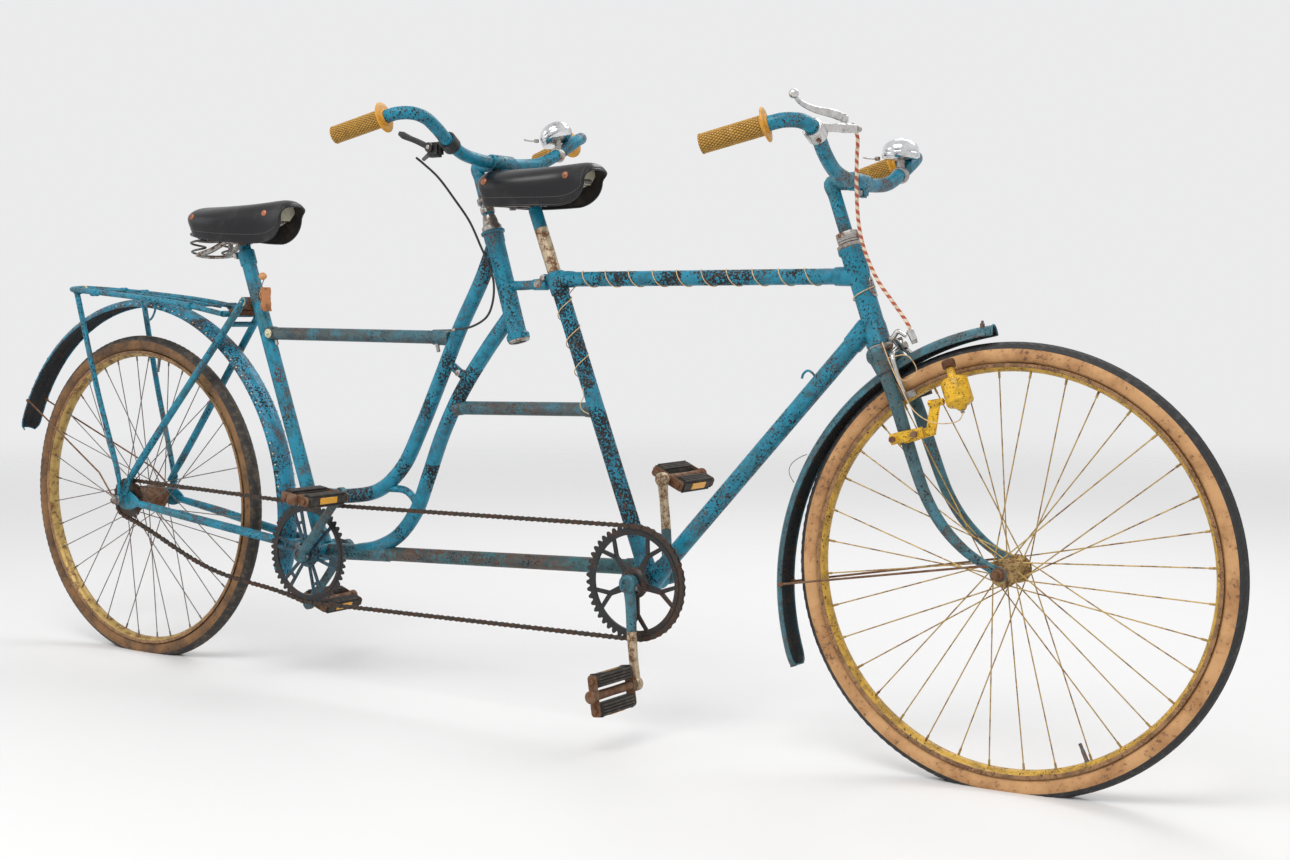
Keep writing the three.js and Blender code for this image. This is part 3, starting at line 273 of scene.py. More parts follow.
def ball(centre, radius, squash=1.0):
    steps = 12
    profile = [(radius * math.sin(math.pi * i / steps), -radius * squash * math.cos(math.pi * i / steps))
               for i in range(steps + 1)]
    profile[0], profile[-1] = (0, profile[0][1]), (0, profile[-1][1])
    return lathe(profile, centre, np.array(centre) + (0, 0, 1), 24)


def hexagon(a, b, across_flats):
    return rod(a, b, across_flats / 2 / math.cos(math.pi / 6), edge=0.5, sides=6)


def spring(a, b, radius, wire, turns, per_turn=20):
    a, b = np.array(a, float), np.array(b, float)
    along = (b - a) / np.linalg.norm(b - a)
    side = np.cross(along, (1.0, 0, 0))
    side /= np.linalg.norm(side)
    up = np.cross(along, side)
    n = int(turns * per_turn) + 1
    angle = 2 * np.pi * np.arange(n) / per_turn
    swell = radius * (0.8 + 0.2 * np.sin(np.pi * np.arange(n) / (n - 1)))
    p = a + (b - a) * (np.arange(n) / (n - 1))[:, None]
    p = p + swell[:, None] * (np.cos(angle)[:, None] * side + np.sin(angle)[:, None] * up)
    return tube(p, wire, 10)


def band(angles, outer, inner, half):
    """A flat ring in X and Z about the origin, from radii given at each angle, thick along Y."""
    n = len(angles)
    rows = []
    for radii, y in ((outer, -half), (outer, half), (inner, half), (inner, -half)):
        r = np.broadcast_to(np.asarray(radii, float), (n,))
        rows.append(np.stack([r * np.cos(angles), np.full(n, y), r * np.sin(angles)], 1))
    faces, _ = grid_faces(4, n, True)
    return np.vstack(rows), faces, None


def show(node, shape, materials, place, angle=38):
    """Makes the piece, which stands for its CAD node."""
    mesh = bpy.data.meshes.new(node + "_shape")
    m = np.array(place)
    verts = np.vstack(shape.verts) @ m[:3, :3].T + m[:3, 3]
    mesh.from_pydata(verts.tolist(), [], shape.faces)
    layer = mesh.uv_layers.new(name="UVMap")
    layer.data.foreach_set("uv", np.array(shape.uvs, np.float32).ravel())
    for material in materials:
        mesh.materials.append(material)
    mesh.polygons.foreach_set("material_index", shape.mats)
    bm = bmesh.new()
    bm.from_mesh(mesh)
    bmesh.ops.recalc_face_normals(bm, faces=bm.faces[:])
    bm.to_mesh(mesh)
    bm.free()
    mesh.polygons.foreach_set("use_smooth", [True] * len(mesh.polygons))
    mesh.set_sharp_from_angle(angle=math.radians(angle))
    made = bpy.data.objects.new(node + "_looks", mesh)
    bpy.context.scene.collection.objects.link(made)
    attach(made, BODY_OF[node])
    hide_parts(node)
    return made


def show_cord(node, route, radius, material, place, ends=None, sides=16):
    """A cord that the bicycle holds at both ends, drawn along the route, with its end fittings."""
    shape = Shape()
    shape.add(tube(route, radius, sides))
    if ends:
        for part in ends:
            shape.add(part, 1)
    return show(node, shape, [material, steel], place)

# ---------------------------------------------------------------- materials


class Look:
    """A node material, with short calls for the nodes that it needs."""

    def __init__(self, name, metallic=0.0, coat=0.0, specular=0.5):
        self.material = bpy.data.materials.new(name)
        self.material.use_nodes = True
        self.tree = self.material.node_tree
        self.shader = self.tree.nodes["Principled BSDF"]
        self.shader.inputs["Metallic"].default_value = metallic
        self.shader.inputs["Coat Weight"].default_value = coat
        self.shader.inputs["Coat Roughness"].default_value = 0.15
        self.shader.inputs["Specular IOR Level"].default_value = specular
        where = self.tree.nodes.new("ShaderNodeTexCoord")
        self.place, self.uv = where.outputs["Object"], where.outputs["UV"]

    def feed(self, socket, value):
        if isinstance(value, bpy.types.NodeSocket):
            self.tree.links.new(value, socket)
        elif isinstance(value, tuple) and len(value) == 3 and socket.type == "RGBA":
            socket.default_value = (*value, 1)
        else:
            socket.default_value = value

    def noise(self, scale, detail=4, rough=0.6, stretch=None, seed=0.0, distort=0.0):
        at = self.tree.nodes.new("ShaderNodeMapping")
        self.feed(at.inputs["Vector"], self.place)
        at.inputs["Location"].default_value = (seed, seed * 0.7, -seed)
        at.inputs["Scale"].default_value = stretch or (1, 1, 1)
        made = self.tree.nodes.new("ShaderNodeTexNoise")
        self.feed(made.inputs["Vector"], at.outputs[0])
        for name, value in (("Scale", scale), ("Detail", detail), ("Roughness", rough), ("Distortion", distort)):
            made.inputs[name].default_value = value
        return made.outputs[0]

    def cells(self, scale):
        made = self.tree.nodes.new("ShaderNodeTexVoronoi")
        self.feed(made.inputs["Vector"], self.place)
        made.inputs["Scale"].default_value = scale
        return made.outputs["Distance"]

    def wave(self, u_scale, v_scale, sharp=1.0):
        """0 to 1 stripes over the UVs, u_scale round the piece and v_scale per metre along it."""
        split = self.tree.nodes.new("ShaderNodeSeparateXYZ")
        self.feed(split.inputs[0], self.uv)
        turns = self.sum(self.times(split.outputs[0], u_scale),
                         self.times(split.outputs[1], v_scale))
        wave = self.sum(self.times(turns, 2 * math.pi), 0.0, "SINE")
        return self.between(wave, -1 / sharp, 1 / sharp)

    def sum(self, a, b, kind="ADD"):
        made = self.tree.nodes.new("ShaderNodeMath")
        made.operation = kind
        self.feed(made.inputs[0], a)
        self.feed(made.inputs[1], b)
        return made.outputs[0]

    def times(self, a, b):
        return self.sum(a, b, "MULTIPLY")

    def between(self, value, low, high):
        """0 below low, 1 above high, and a ramp between them."""
        made = self.tree.nodes.new("ShaderNodeMapRange")
        made.interpolation_type = "SMOOTHSTEP"
        for name, v in (("Value", value), ("From Min", low), ("From Max", high)):
            self.feed(made.inputs[name], v)
        return made.outputs[0]

    def mix(self, amount, a, b):
        made = self.tree.nodes.new("ShaderNodeMix")
        made.data_type = "RGBA"
        self.feed(made.inputs[0], amount)
        self.feed(made.inputs[6], a)
        self.feed(made.inputs[7], b)
        return made.outputs[2]

    def grey(self, amount, a, b):
        made = self.tree.nodes.new("ShaderNodeMapRange")
        for name, v in (("Value", amount), ("To Min", a), ("To Max", b)):
            self.feed(made.inputs[name], v)
        return made.outputs[0]

    def finish(self, colour, rough, height=None, strength=0.3, distance=0.0005, metal=None):
        self.feed(self.shader.inputs["Base Color"], colour)
        self.feed(self.shader.inputs["Roughness"], rough)
        if metal is not None:
            self.feed(self.shader.inputs["Metallic"], metal)
        if height is not None:
            bump = self.tree.nodes.new("ShaderNodeBump")
            bump.inputs["Strength"].default_value = strength
            bump.inputs["Distance"].default_value = distance
            self.feed(bump.inputs["Height"], height)
            self.feed(self.shader.inputs["Normal"], bump.outputs[0])
        return self.material


NET_PER_MM = 0.42
UNDERCOAT = (0.010, 0.010, 0.011)
RUST = (0.17, 0.062, 0.022)
DARK_RUST = (0.055, 0.022, 0.012)


def worn_paint(name, bright, dull, chips=0.5, rust=0.4, fade=0.5, gloss=0.36, seed=0.0):
    """Old enamel: faded in broad areas, chipped to black undercoat, and specked and streaked with rust."""
    look = Look(name, coat=0.08, specular=0.32)
    broad = look.noise(8, 3, 0.5, seed=seed)
    middle = look.noise(52, 5, 0.62, seed=seed + 3, distort=0.5)
    fine = look.noise(250, 5, 0.62, seed=seed + 7)
    speck = look.noise(430, 4, 0.65, seed=seed + 11)
    faded = look.sum(look.times(broad, 0.45), look.times(middle, 0.55))
    colour = look.mix(look.between(faded, 0.60 - 0.16 * fade, 0.68 - 0.16 * fade), bright, dull)
    colour = look.mix(look.between(middle, 0.38, 0.72), colour, tuple(c * 0.55 for c in bright))
    colour = look.mix(look.between(speck, 0.56, 0.74), colour, tuple(0.8 * c + 0.035 for c in bright))
    patches = look.between(look.noise(13, 4, 0.55, seed=seed + 23), 0.34, 0.60)
    bare = look.between(look.sum(fine, look.times(look.sum(patches, -0.35), 0.30 * chips)), 0.615, 0.632)
    stained = look.between(look.noise(21, 4, 0.6, seed=seed + 19), 0.40, 0.64)
    rusty = look.between(look.sum(speck, look.times(look.sum(stained, -0.4), 0.26 * rust)), 0.600, 0.64)
    colour = look.mix(bare, colour, UNDERCOAT)
    colour = look.mix(rusty, colour, look.mix(look.between(fine, 0.4, 0.65), DARK_RUST, RUST))
    worn = look.sum(bare, rusty, "MAXIMUM")
    height = look.sum(look.times(worn, -1.0), look.times(fine, 0.5))
    return look.finish(colour, look.grey(worn, gloss, 0.8), height, 0.5, 0.0004)


def old_metal(name, base, stain=RUST, amount=0.4, rough=0.35, metallic=0.85, seed=0.0):
    """Plated or bare metal with scratches, tarnish and rust spots."""
    look = Look(name)
    scratch = look.noise(700, 3, 0.6, stretch=(1, 0.1, 1), seed=seed)
    patch = look.noise(60, 5, 0.65, seed=seed + 5)
    fine = look.noise(480, 4, 0.6, seed=seed + 9)
    area = look.sum(look.times(patch, 0.6), look.times(fine, 0.4))
    spots = look.between(area, 0.60 - 0.2 * amount, 0.66 - 0.14 * amount)
    colour = look.mix(look.between(patch, 0.3, 0.7), base, tuple(c * 0.7 for c in base))
    colour = look.mix(spots, colour, look.mix(look.between(fine, 0.4, 0.6), tuple(c * 0.4 for c in stain), stain))
    return look.finish(colour, look.grey(spots, rough, 0.8), look.sum(scratch, look.times(spots, 0.8)),
                       0.25, 0.0003, look.grey(spots, metallic, 0.15))


def rubber(name, base, dirt, amount=0.5, rough=0.62, seed=0.0):
    look = Look(name)
    dust = look.noise(70, 5, 0.65, seed=seed)
    grain = look.noise(900, 3, 0.6, seed=seed + 4)
    colour = look.mix(look.between(dust, 0.62 - 0.3 * amount, 0.85 - 0.2 * amount), base, dirt)
    colour = look.mix(look.between(grain, 0.45, 0.7), colour, tuple(c * 0.6 for c in base))
    return look.finish(colour, look.grey(dust, rough, rough + 0.2), grain, 0.3, 0.0003)


def gum_wall(name, base, dark, dirt, seed=0.0):
    """A tyre's pale side: fine ribs round it, brown staining and scuffs."""
    look = Look(name)
    split = look.tree.nodes.new("ShaderNodeSeparateXYZ")
    look.feed(split.inputs[0], look.uv)
    ribs = look.sum(look.times(split.outputs[1], 2 * math.pi * 900), 0.0, "SINE")
    stain = look.noise(16, 5, 0.65, seed=seed)
    scuff = look.noise(160, 4, 0.6, seed=seed + 6)
    colour = look.mix(look.between(stain, 0.36, 0.66), base, dark)
    colour = look.mix(look.between(look.sum(scuff, look.times(stain, 0.5)), 0.80, 0.98), colour, dirt)
    return look.finish(colour, look.grey(scuff, 0.6, 0.85), look.sum(look.times(ribs, 0.3), scuff), 0.35,
                       0.0004)


def hide(name, base, worn, rough, seed=0.0, grain=650):
    """Leather with a fine pebble grain and rubbed places."""
    look = Look(name, coat=0.22, specular=0.30)
    look.shader.inputs["Coat Roughness"].default_value = 0.18
    pebble = look.cells(grain)
    crease = look.noise(90, 5, 0.6, seed=seed, distort=0.8)
    rub = look.noise(26, 5, 0.65, seed=seed + 8)
    colour = look.mix(look.between(rub, 0.52, 0.72), base, worn)
    return look.finish(colour, look.grey(rub, rough, rough + 0.22),
                       look.sum(look.times(pebble, 0.5), look.times(crease, 0.9)), 0.22, 0.0005)


def netted(name, base, dirt):
    """Amber plastic whose grooves, a net of diamonds, hold dirt."""
    look = Look(name)
    split = look.tree.nodes.new("ShaderNodeSeparateXYZ")
    look.feed(split.inputs[0], look.uv)
    round_it = look.times(split.outputs[0], 20 * math.pi)
    along = look.sum(look.times(split.outputs[1], 1000 * NET_PER_MM), 10 * NET_PER_MM)
    one, two = (look.sum(look.sum(look.sum(round_it, along, kind), 0.0, "SINE"), 0.0, "ABSOLUTE") for kind in ("ADD",
        "SUBTRACT"))
    groove = look.between(look.sum(one, two, "MINIMUM"), 0.12, 0.5)
    grime = look.noise(120, 5, 0.65)
    colour = look.mix(groove, dirt, look.mix(look.between(grime, 0.45, 0.75), base, tuple(c * 0.6 for c in base)))
    return look.finish(colour, look.grey(groove, 0.75, 0.33), groove, 0.3, 0.0004)


def plastic(name, base, dirt, rough=0.35, see_through=0.0, seed=0.0):
    look = Look(name)
    look.shader.inputs["Subsurface Weight"].default_value = see_through
    look.shader.inputs["Subsurface Radius"].default_value = (0.004, 0.002, 0.001)
    grime = look.noise(140, 5, 0.65, seed=seed)
    fine = look.noise(600, 3, 0.6, seed=seed + 2)
    colour = look.mix(look.between(grime, 0.52, 0.72), base, dirt)
    return look.finish(colour, look.grey(grime, rough, rough + 0.25), fine, 0.2, 0.0003)


BRIGHT = (0.008, 0.205, 0.310)
DULL = (0.042, 0.150, 0.175)
blue = worn_paint("frame_blue", BRIGHT, DULL, chips=0.38, rust=0.55, fade=0.45)
blue_black = worn_paint("blue_with_black_chips", BRIGHT, (0.012, 0.12, 0.2), chips=0.85, rust=0.35, fade=0.3, seed=5)
blue_rusty = worn_paint("blue_with_rust", BRIGHT, DULL, chips=0.35, rust=0.72, fade=0.55, gloss=0.4, seed=9)
teal_dull = worn_paint("dull_teal", (0.040, 0.150, 0.190), (0.062, 0.100, 0.105), chips=0.25, rust=0.5, fade=0.8,
                       gloss=0.45, seed=13)
guard_blue = worn_paint("mudguard_blue", (0.020, 0.230, 0.360), (0.060, 0.110, 0.120), chips=0.5, rust=0.85, fade=0.6,
                        gloss=0.4, seed=17)
guard_inside = worn_paint("mudguard_inside", (0.010, 0.016, 0.020), (0.010, 0.028, 0.034), chips=0.5, rust=0.4,
                          gloss=0.6, seed=21)
brace_grey = worn_paint("brace_grey_blue", (0.040, 0.130, 0.165), (0.085, 0.085, 0.075), chips=0.2, rust=0.6,
                        fade=0.9, gloss=0.5, seed=25)
boom_brown = worn_paint("boom_rust_and_teal", (0.030, 0.115, 0.130), (0.100, 0.050, 0.034), chips=0.3, rust=0.8,
                        fade=0.95, gloss=0.5, seed=29)
yellow = worn_paint("yellow_enamel", (0.70, 0.40, 0.018), (0.50, 0.26, 0.02), chips=0.0, rust=0.4, fade=0.3, seed=33)
rim_yellow = worn_paint("rim_mustard", (0.56, 0.33, 0.045), (0.38, 0.22, 0.05), chips=0.0, rust=0.45, fade=0.5,
                        gloss=0.4, seed=37)
rim_brown = worn_paint("rim_brown_band", (0.30, 0.16, 0.07), (0.17, 0.09, 0.045), chips=0.0, rust=0.5, fade=0.6,
                       gloss=0.5, seed=41)
post_bare = old_metal("bare_post", (0.52, 0.42, 0.28), amount=0.65, rough=0.4, metallic=0.55, seed=2)
steel = old_metal("old_steel", (0.42, 0.40, 0.37), amount=0.45)
dark_steel = old_metal("dark_steel", (0.16, 0.155, 0.15), amount=0.35, rough=0.4, seed=4)
rust_steel = old_metal("rusty_steel", (0.20, 0.12, 0.07), amount=0.8, rough=0.6, metallic=0.4, seed=6)
hub_brass = old_metal("front_hub_brass", (0.40, 0.26, 0.10), stain=(0.13, 0.06, 0.028), amount=0.55, rough=0.45,
                      metallic=0.45, seed=22)
spoke_gold = old_metal("spoke_gold", (0.46, 0.31, 0.10), amount=0.5, rough=0.45, metallic=0.5, seed=8)
spoke_grey = old_metal("spoke_grey", (0.20, 0.19, 0.18), amount=0.45, rough=0.45, metallic=0.6, seed=10)
chrome = old_metal("chrome", (0.78, 0.79, 0.80), amount=0.08, rough=0.08, metallic=1.0, seed=12)
alloy = old_metal("alloy", (0.66, 0.65, 0.63), stain=(0.3, 0.28, 0.24), amount=0.2, rough=0.22, metallic=0.95, seed=14)
cream = worn_paint("cream_washer", (0.62, 0.56, 0.38), (0.42, 0.36, 0.24), chips=0.0, rust=0.3, fade=0.4, seed=45)
chain_metal = old_metal("oily_chain", (0.055, 0.045, 0.036), stain=(0.09, 0.04, 0.02), amount=0.6, rough=0.42,
                        metallic=0.6, seed=16)
ring_black = worn_paint("ring_black", (0.016, 0.017, 0.019), (0.034, 0.030, 0.026), chips=0.1, rust=0.5, gloss=0.4,
                        seed=49)
ring_blue = worn_paint("ring_dark_blue", (0.016, 0.070, 0.105), (0.020, 0.035, 0.045), chips=0.5, rust=0.4, gloss=0.4,
                       seed=53)
amber = netted("amber_grip", (0.47, 0.25, 0.026), (0.12, 0.055, 0.012))
amber_flange = plastic("orange_flange", (0.58, 0.27, 0.015), (0.28, 0.12, 0.02), 0.3, 0.15, seed=3)
reflector = plastic("amber_reflector", (0.72, 0.34, 0.02), (0.4, 0.18, 0.02), 0.15, 0.1, seed=5)
black_plastic = plastic("black_plastic", (0.014, 0.014, 0.015), (0.05, 0.045, 0.04), 0.35, seed=7)
pedal_rubber = rubber("pedal_rubber", (0.030, 0.026, 0.022), (0.11, 0.085, 0.06), 0.55)
tread_rubber = rubber("tread_rubber", (0.022, 0.022, 0.023), (0.085, 0.078, 0.07), 0.45, seed=3)
old_tread = rubber("old_tread_rubber", (0.024, 0.022, 0.021), (0.13, 0.095, 0.06), 0.6, seed=9)
gum = gum_wall("gum_sidewall", (0.54, 0.300, 0.130), (0.36, 0.175, 0.065), (0.15, 0.075, 0.038))
old_gum = gum_wall("dirty_sidewall", (0.215, 0.105, 0.036), (0.080, 0.040, 0.018), (0.035, 0.024, 0.016), seed=6)
leather = hide("black_leather", (0.005, 0.005, 0.0065), (0.020, 0.017, 0.016), 0.26)
leather_inside = hide("leather_inside", (0.022, 0.018, 0.015), (0.05, 0.04, 0.03), 0.6, seed=5)
tan_leather = hide("tan_leather", (0.42, 0.17, 0.06), (0.20, 0.07, 0.025), 0.55, seed=7)
bead_tan = hide("tan_bead", (0.55, 0.26, 0.10), (0.42, 0.18, 0.07), 0.4, seed=9, grain=300)
copper = old_metal("copper_rivet", (0.44, 0.16, 0.08), stain=(0.12, 0.06, 0.04), amount=0.4, rough=0.4, metallic=0.6,
                   seed=18)
pale_plate = plastic("pale_plate", (0.40, 0.38, 0.28), (0.2, 0.18, 0.12), 0.5, seed=11)
thread_grey = plastic("stitching", (0.12, 0.11, 0.10), (0.06, 0.055, 0.05), 0.6, seed=13)
wire_tan = plastic("tan_wire", (0.56, 0.38, 0.20), (0.3, 0.19, 0.10), 0.5, seed=15)


def braid():
    """Red and cream spiral of the brake cable's sleeve."""
    look = Look("braided_sleeve")
    stripe = look.wave(1.0, 78.0, 2.2)
    grime = look.noise(220, 4, 0.6)
    colour = look.mix(stripe, (0.42, 0.075, 0.035), (0.72, 0.58, 0.42))
    colour = look.mix(look.between(grime, 0.5, 0.75), colour, (0.22, 0.12, 0.07))
    return look.finish(colour, look.grey(grime, 0.6, 0.85), look.sum(stripe, look.noise(1500, 2)), 0.4, 0.0004)


cable_braid = braid()

# ---------------------------------------------------------------- frame tubes


def at_head(distance):
    return HEAD_BOTTOM + AXIS * distance


def at_second(distance):
    return SECOND_TOP + SECOND_AXIS * distance


def flat(point, y=0.0):
    return (point[0], y, point[1])


def seat_axis(top, bracket):
    axis = np.array(flat(top)) - np.array(flat(bracket))
    return axis / np.linalg.norm(axis)


def washer(x, z, y, radius=9):
    """A bolt head on its washer, outside the frame at y."""
    side = math.copysign(1, y)
    return [rod((x, y, z), (x, y + side * 2.4, z), radius, edge=0.6, sides=28),
            ball((x, y + side * 2.6, z), radius * 0.42, 0.8)]


def washers(shape, x, z, y, radius, mat=1):
    for side in (-1, 1):
        for part in washer(x, z, side * y, radius):
            shape.add(part, mat)


shape = Shape()
shape.add(lathe([(13.6, 0), (20.2, 0), (21, 0.8), (21, 4.2), (18.8, 9), (18.6, 33), (17.5, 36.5),
                 (17.5, HEAD_LENGTH - 47), (18.6, HEAD_LENGTH - 43), (18.6, HEAD_LENGTH - 11), (20.5, HEAD_LENGTH - 8),
                 (21.5, HEAD_LENGTH - 6.5), (21.5, HEAD_LENGTH - 0.8), (20.8, HEAD_LENGTH), (13.6,
                     HEAD_LENGTH), (13.6, 0)],
                HEAD_BOTTOM, HEAD_TOP, 56))
crest = [(11 * math.sin(t) * (1 - 0.25 * math.cos(t)), 17.5 * math.cos(t)) for t in np.linspace(0, 2 * math.pi, 36,
    endpoint=False)]
verts, faces, _ = plate(crest, 0, 1.2, 0.5)
curved = []
for y, out, z in verts:
    lean = 18.0 + out
    curved.append(at_head(91 + z) + AHEAD * lean * math.cos(y / 18.5) + np.array([0, lean * math.sin(y / 18.5), 0]))
shape.add((curved, faces, None), 1)
for t in np.linspace(0, 2 * math.pi, 5)[:4]:
    y, z = 7 * math.sin(t), 10 * math.cos(t)
    shape.add(ball(at_head(91 + z) + AHEAD * 18.6 * math.cos(y / 18.5) + (0, 18.6 * math.sin(y / 18.5), 0), 1.3), 2)
show("head_tube", shape, [blue, steel, copper], ROW)

shape = Shape()
shape.add(tube(even([(1104, 0, 795), (1697, 0, 792)], 8), 13, 44))
shape.add(rod((1653, 0, 792.2), (1690, 0, 792), 15, 16.2, 1.6, 44))
shape.add(rod((1104, 0, 795), (1140, 0, 794.8), 15.5, 14.4, 1.2, 44))
show("top_tube", shape, [blue_black], ROW)

shape = Shape()
shape.add(tube(even([(1303, 0, 274), (1712, 0, 714)], 8), 15, 44))
shape.add(rod((1683, 0, 682.5), (1711, 0, 713), 17, 18, 1.6, 44))
shape.add(rod((1303, 0, 274), (1330, 0, 303), 18.5, 16.2, 1.2, 44))
shape.add(bent([(1625, 0, 612), (1617, 0, 634), (1605, 0, 642), (1596, 0, 636), (1594, 0, 629)], 2, 26, 14))
show("down_tube", shape, [blue], ROW)


def bracket_shell(shape, centre, mat, cups):
    x, z = centre
    shape.add(lathe([(10.2, -34), (19.4, -34), (20.6, -33), (20.6, -29), (20, -28), (20, 28), (20.6, 29), (20.6, 33),
                     (19.4, 34), (10.2, 34), (10.2, -34)], (x, 0, z), (x, 1, z), 52), mat)
    for side in (-1, 1):
        shape.add(lathe([(10.5, 34), (18.2, 34), (18.2, 38), (14, 40), (10.5, 40), (10.5, 34)], (x, 0, z),
                        (x, side, z), 40), cups)


def seat_tube(node, top, bracket, collar, looks):
    axis = seat_axis(top, bracket)
    low, high = np.array(flat(bracket)), np.array(flat(top))
    shape = Shape()
    length = float(np.linalg.norm(high - low))
    shape.add(lathe([(0, 12), (14.5, 12), (14.5, length - collar), (16.8, length - collar + 2.5), (17, length - 1),
                     (16.2, length), (12.9, length), (12.9, length - 60), (0, length - 60)], low, high, 48))
    shape.add(lathe([(0, 14), (19, 14), (17.5, 34), (14.8, 44), (0, 44)], low, high, 48))
    bracket_shell(shape, bracket, 0, 1)
    ear = high - axis * 9 - np.array([17.5, 0, 0])
    for side in (-1, 1):
        shape.add(slab(ear + (-9, side * 4 - 3, -7), ear + (4, side * 4 + 3, 7), 1.6))
    shape.add(rod(ear + (-4, -12, 0), ear + (-4, 12, 0), 3.2, edge=0.5, sides=18), 2)
    shape.add(hexagon(ear + (-4, -14, 0), ear + (-4, -9, 0), 10), 2)
    show(node, shape, looks, ROW)


seat_tube("front_seat_tube", FRONT_SEAT_TOP, FRONT_BRACKET, 40, [blue_black, dark_steel, steel])
seat_tube("rear_seat_tube", REAR_SEAT_TOP, REAR_BRACKET, 30, [blue_rusty, dark_steel, steel])

shape = Shape()
shape.add(tube(even([(540, 0, 270), (1281, 0, 296.3)], 8), 13.5, 40))
shape.add(rod((556, 0, 270.4), (700, 0, 275.6), 16, 15.4, 1.4, 44), 1)
shape.add(rod((1252, 0, 295.3), (1281, 0, 296.4), 15.2, 17, 1.2, 44))
show("boom_tube", shape, [boom_brown, teal_dull], ROW)

shape = Shape()
shape.add(tube(even([(868, 0, 561.1), (1180, 0, 567)], 6), 12.5, 40))
shape.add(rod((868, 0, 561.1), (884, 0, 561.4), 14.8, 13.4, 1, 40))
shape.add(rod((1164, 0, 566.6), (1182, 0, 567), 13.4, 15, 1, 40))
show("mid_brace", shape, [brace_grey], ROW)

length = float(np.linalg.norm(SECOND_TOP - SECOND_BOTTOM))
shape = Shape()
shape.add(lathe([(12.5, 0), (20, 0), (21, 1), (21, 9), (17.6, 13), (17, 16), (17, length - 25), (18.5, length - 21),
                 (18.5, length - 7), (21.4, length - 5), (22, length - 4), (22, length - 0.8), (21, length), (12.5,
                     length),
                 (12.5, 0)], SECOND_BOTTOM, SECOND_TOP, 52))
shape.add(lathe([(12.6, 2), (19.4, 2), (19.4, -3), (17, -5), (12.6, -5), (12.6, 2)], SECOND_BOTTOM, SECOND_TOP, 52), 1)
shape.add(bent([(990, 0, 786), (1020, 0, 785), (1050, 0, 786), (1079, 0, 787)], 8.5, 16, 32))
shape.add(rod((1050, 0, 786.2), (1082, 0, 787), 10, 11, 2, 32))
washers(shape, 1067, 787, 9.6, 8)
show("second_head_tube", shape, [blue_rusty, steel], ROW)

UPPER_LOOP = [(962, 862), (933, 800), (878, 706), (830, 612), (782, 520), (735, 444), (676, 398), (600, 382),
              (490, 380)]
LOWER_LOOP = [(1000, 734), (945, 672), (880, 588), (836, 512), (800, 430), (768, 362), (722, 312), (668, 286),
              (620, 276)]
shape = Shape()
shape.add(bent([flat(p) for p in UPPER_LOOP], 14, 110, 40))
shape.add(bent([flat(p) for p in LOWER_LOOP], 14, 100, 40))
shape.add(rod((854, 0, 643), (904, 0, 608), 8, edge=0.5))
shape.add(bent([(700, 0, 402), (742, 0, 400), (764, 0, 384), (774, 0, 352)], 7, 30, 28))
washers(shape, 879, 626, 7.4, 6)
show("loop_tubes", shape, [blue_black, steel], ROW)

shape = Shape()
shape.add(tube(even([(378, 0, 697), (858, 0, 691)], 8), 12.5, 40))
shape.add(rod((815, 0, 691.6), (858, 0, 691), 14.2, 15.6, 1.2, 44))
shape.add(rod((383, 0, 697), (402, 0, 697), 15, 13.6, 1.4, 44))
shape.add(rod((395, -15, 697), (395, 15, 697), 7, edge=0.6))
washers(shape, 395, 697, 15, 9)
shape.add(rod((828, -6, 680), (832, -6, 664), 4, 3.4, sides=20), 2)
shape.add(rod((405, -4, 684), (408, -4, 674), 3.6, sides=20), 2)
show("rear_top_tube", shape, [brace_grey, cream, steel], ROW)

# ---------------------------------------------------------------- stays and rear axle
DROPOUT = [(-14, 352), (-4, 362), (20, 366), (52, 346), (48, 332), (18, 322), (-10, 328)]


def rounded(outline, reach=0.3):
    """A closed outline with its corners cut twice, so that they look round."""
    p = np.array(outline, float)
    for _ in range(2):
        nxt = np.roll(p, -1, 0)
        p = np.stack([p * (1 - reach) + nxt * reach, p * reach + nxt * (1 - reach)], 1).reshape(-1, 2)
        reach = 0.25
    return [tuple(q) for q in p]


shape = Shape()
for side in (-1, 1):
    low, high = sorted((side * 58.2, side * 61.8))
    shape.add(plate(rounded(DROPOUT, 0.2), low, high))
    leg = curve([(513, side * 24, 274.5), (330, side * 37, 299), (180, side * 50, 320), (38, side * 57, 339)], 40)
    shape.add(tube(leg, taper(40, [0, 6, 28, 39], [8.6, 8.2, 7.8, 6.4]), 28, flat=1.12))
shape.add(rod((452, -32, 283), (452, 32, 283), 5, sides=24))
for end in (-16, -34):
    shape.add(hexagon((30, -57, 333), (30, end - 28, 333), 1), 1)
show("chain_stays", shape, [blue_rusty, steel], ROW)

STAY_FOOT = [(-2, 356), (20, 354), (31, 393), (12, 388)]
shape = Shape()
for side in (-1, 1):
    leg = curve([(10, side * 58.5, 377), (80, side * 55, 458), (200, side * 44, 597), (345, side * 30, 765)], 40)
    shape.add(tube(leg, taper(40, [0, 4, 39], [6.2, 7.6, 7.6]), 28))
    low, high = sorted((side * 62.4, side * 65.6))
    shape.add(plate(rounded(STAY_FOOT, 0.2), low, high))
    for part in washer(341, 760, side * 32, 9):
        shape.add(part, 1)
shape.add(rod((302, -33, 715), (302, 33, 715), 5.5, sides=24))
shape.add(rod((341, -33, 760), (341, 33, 760), 6, sides=24), 2)
shape.add(slab((318, -15, 744), (342, 15, 770), 3, 3), 2)
show("seat_stays", shape, [blue_rusty, cream, rust_steel], ROW)

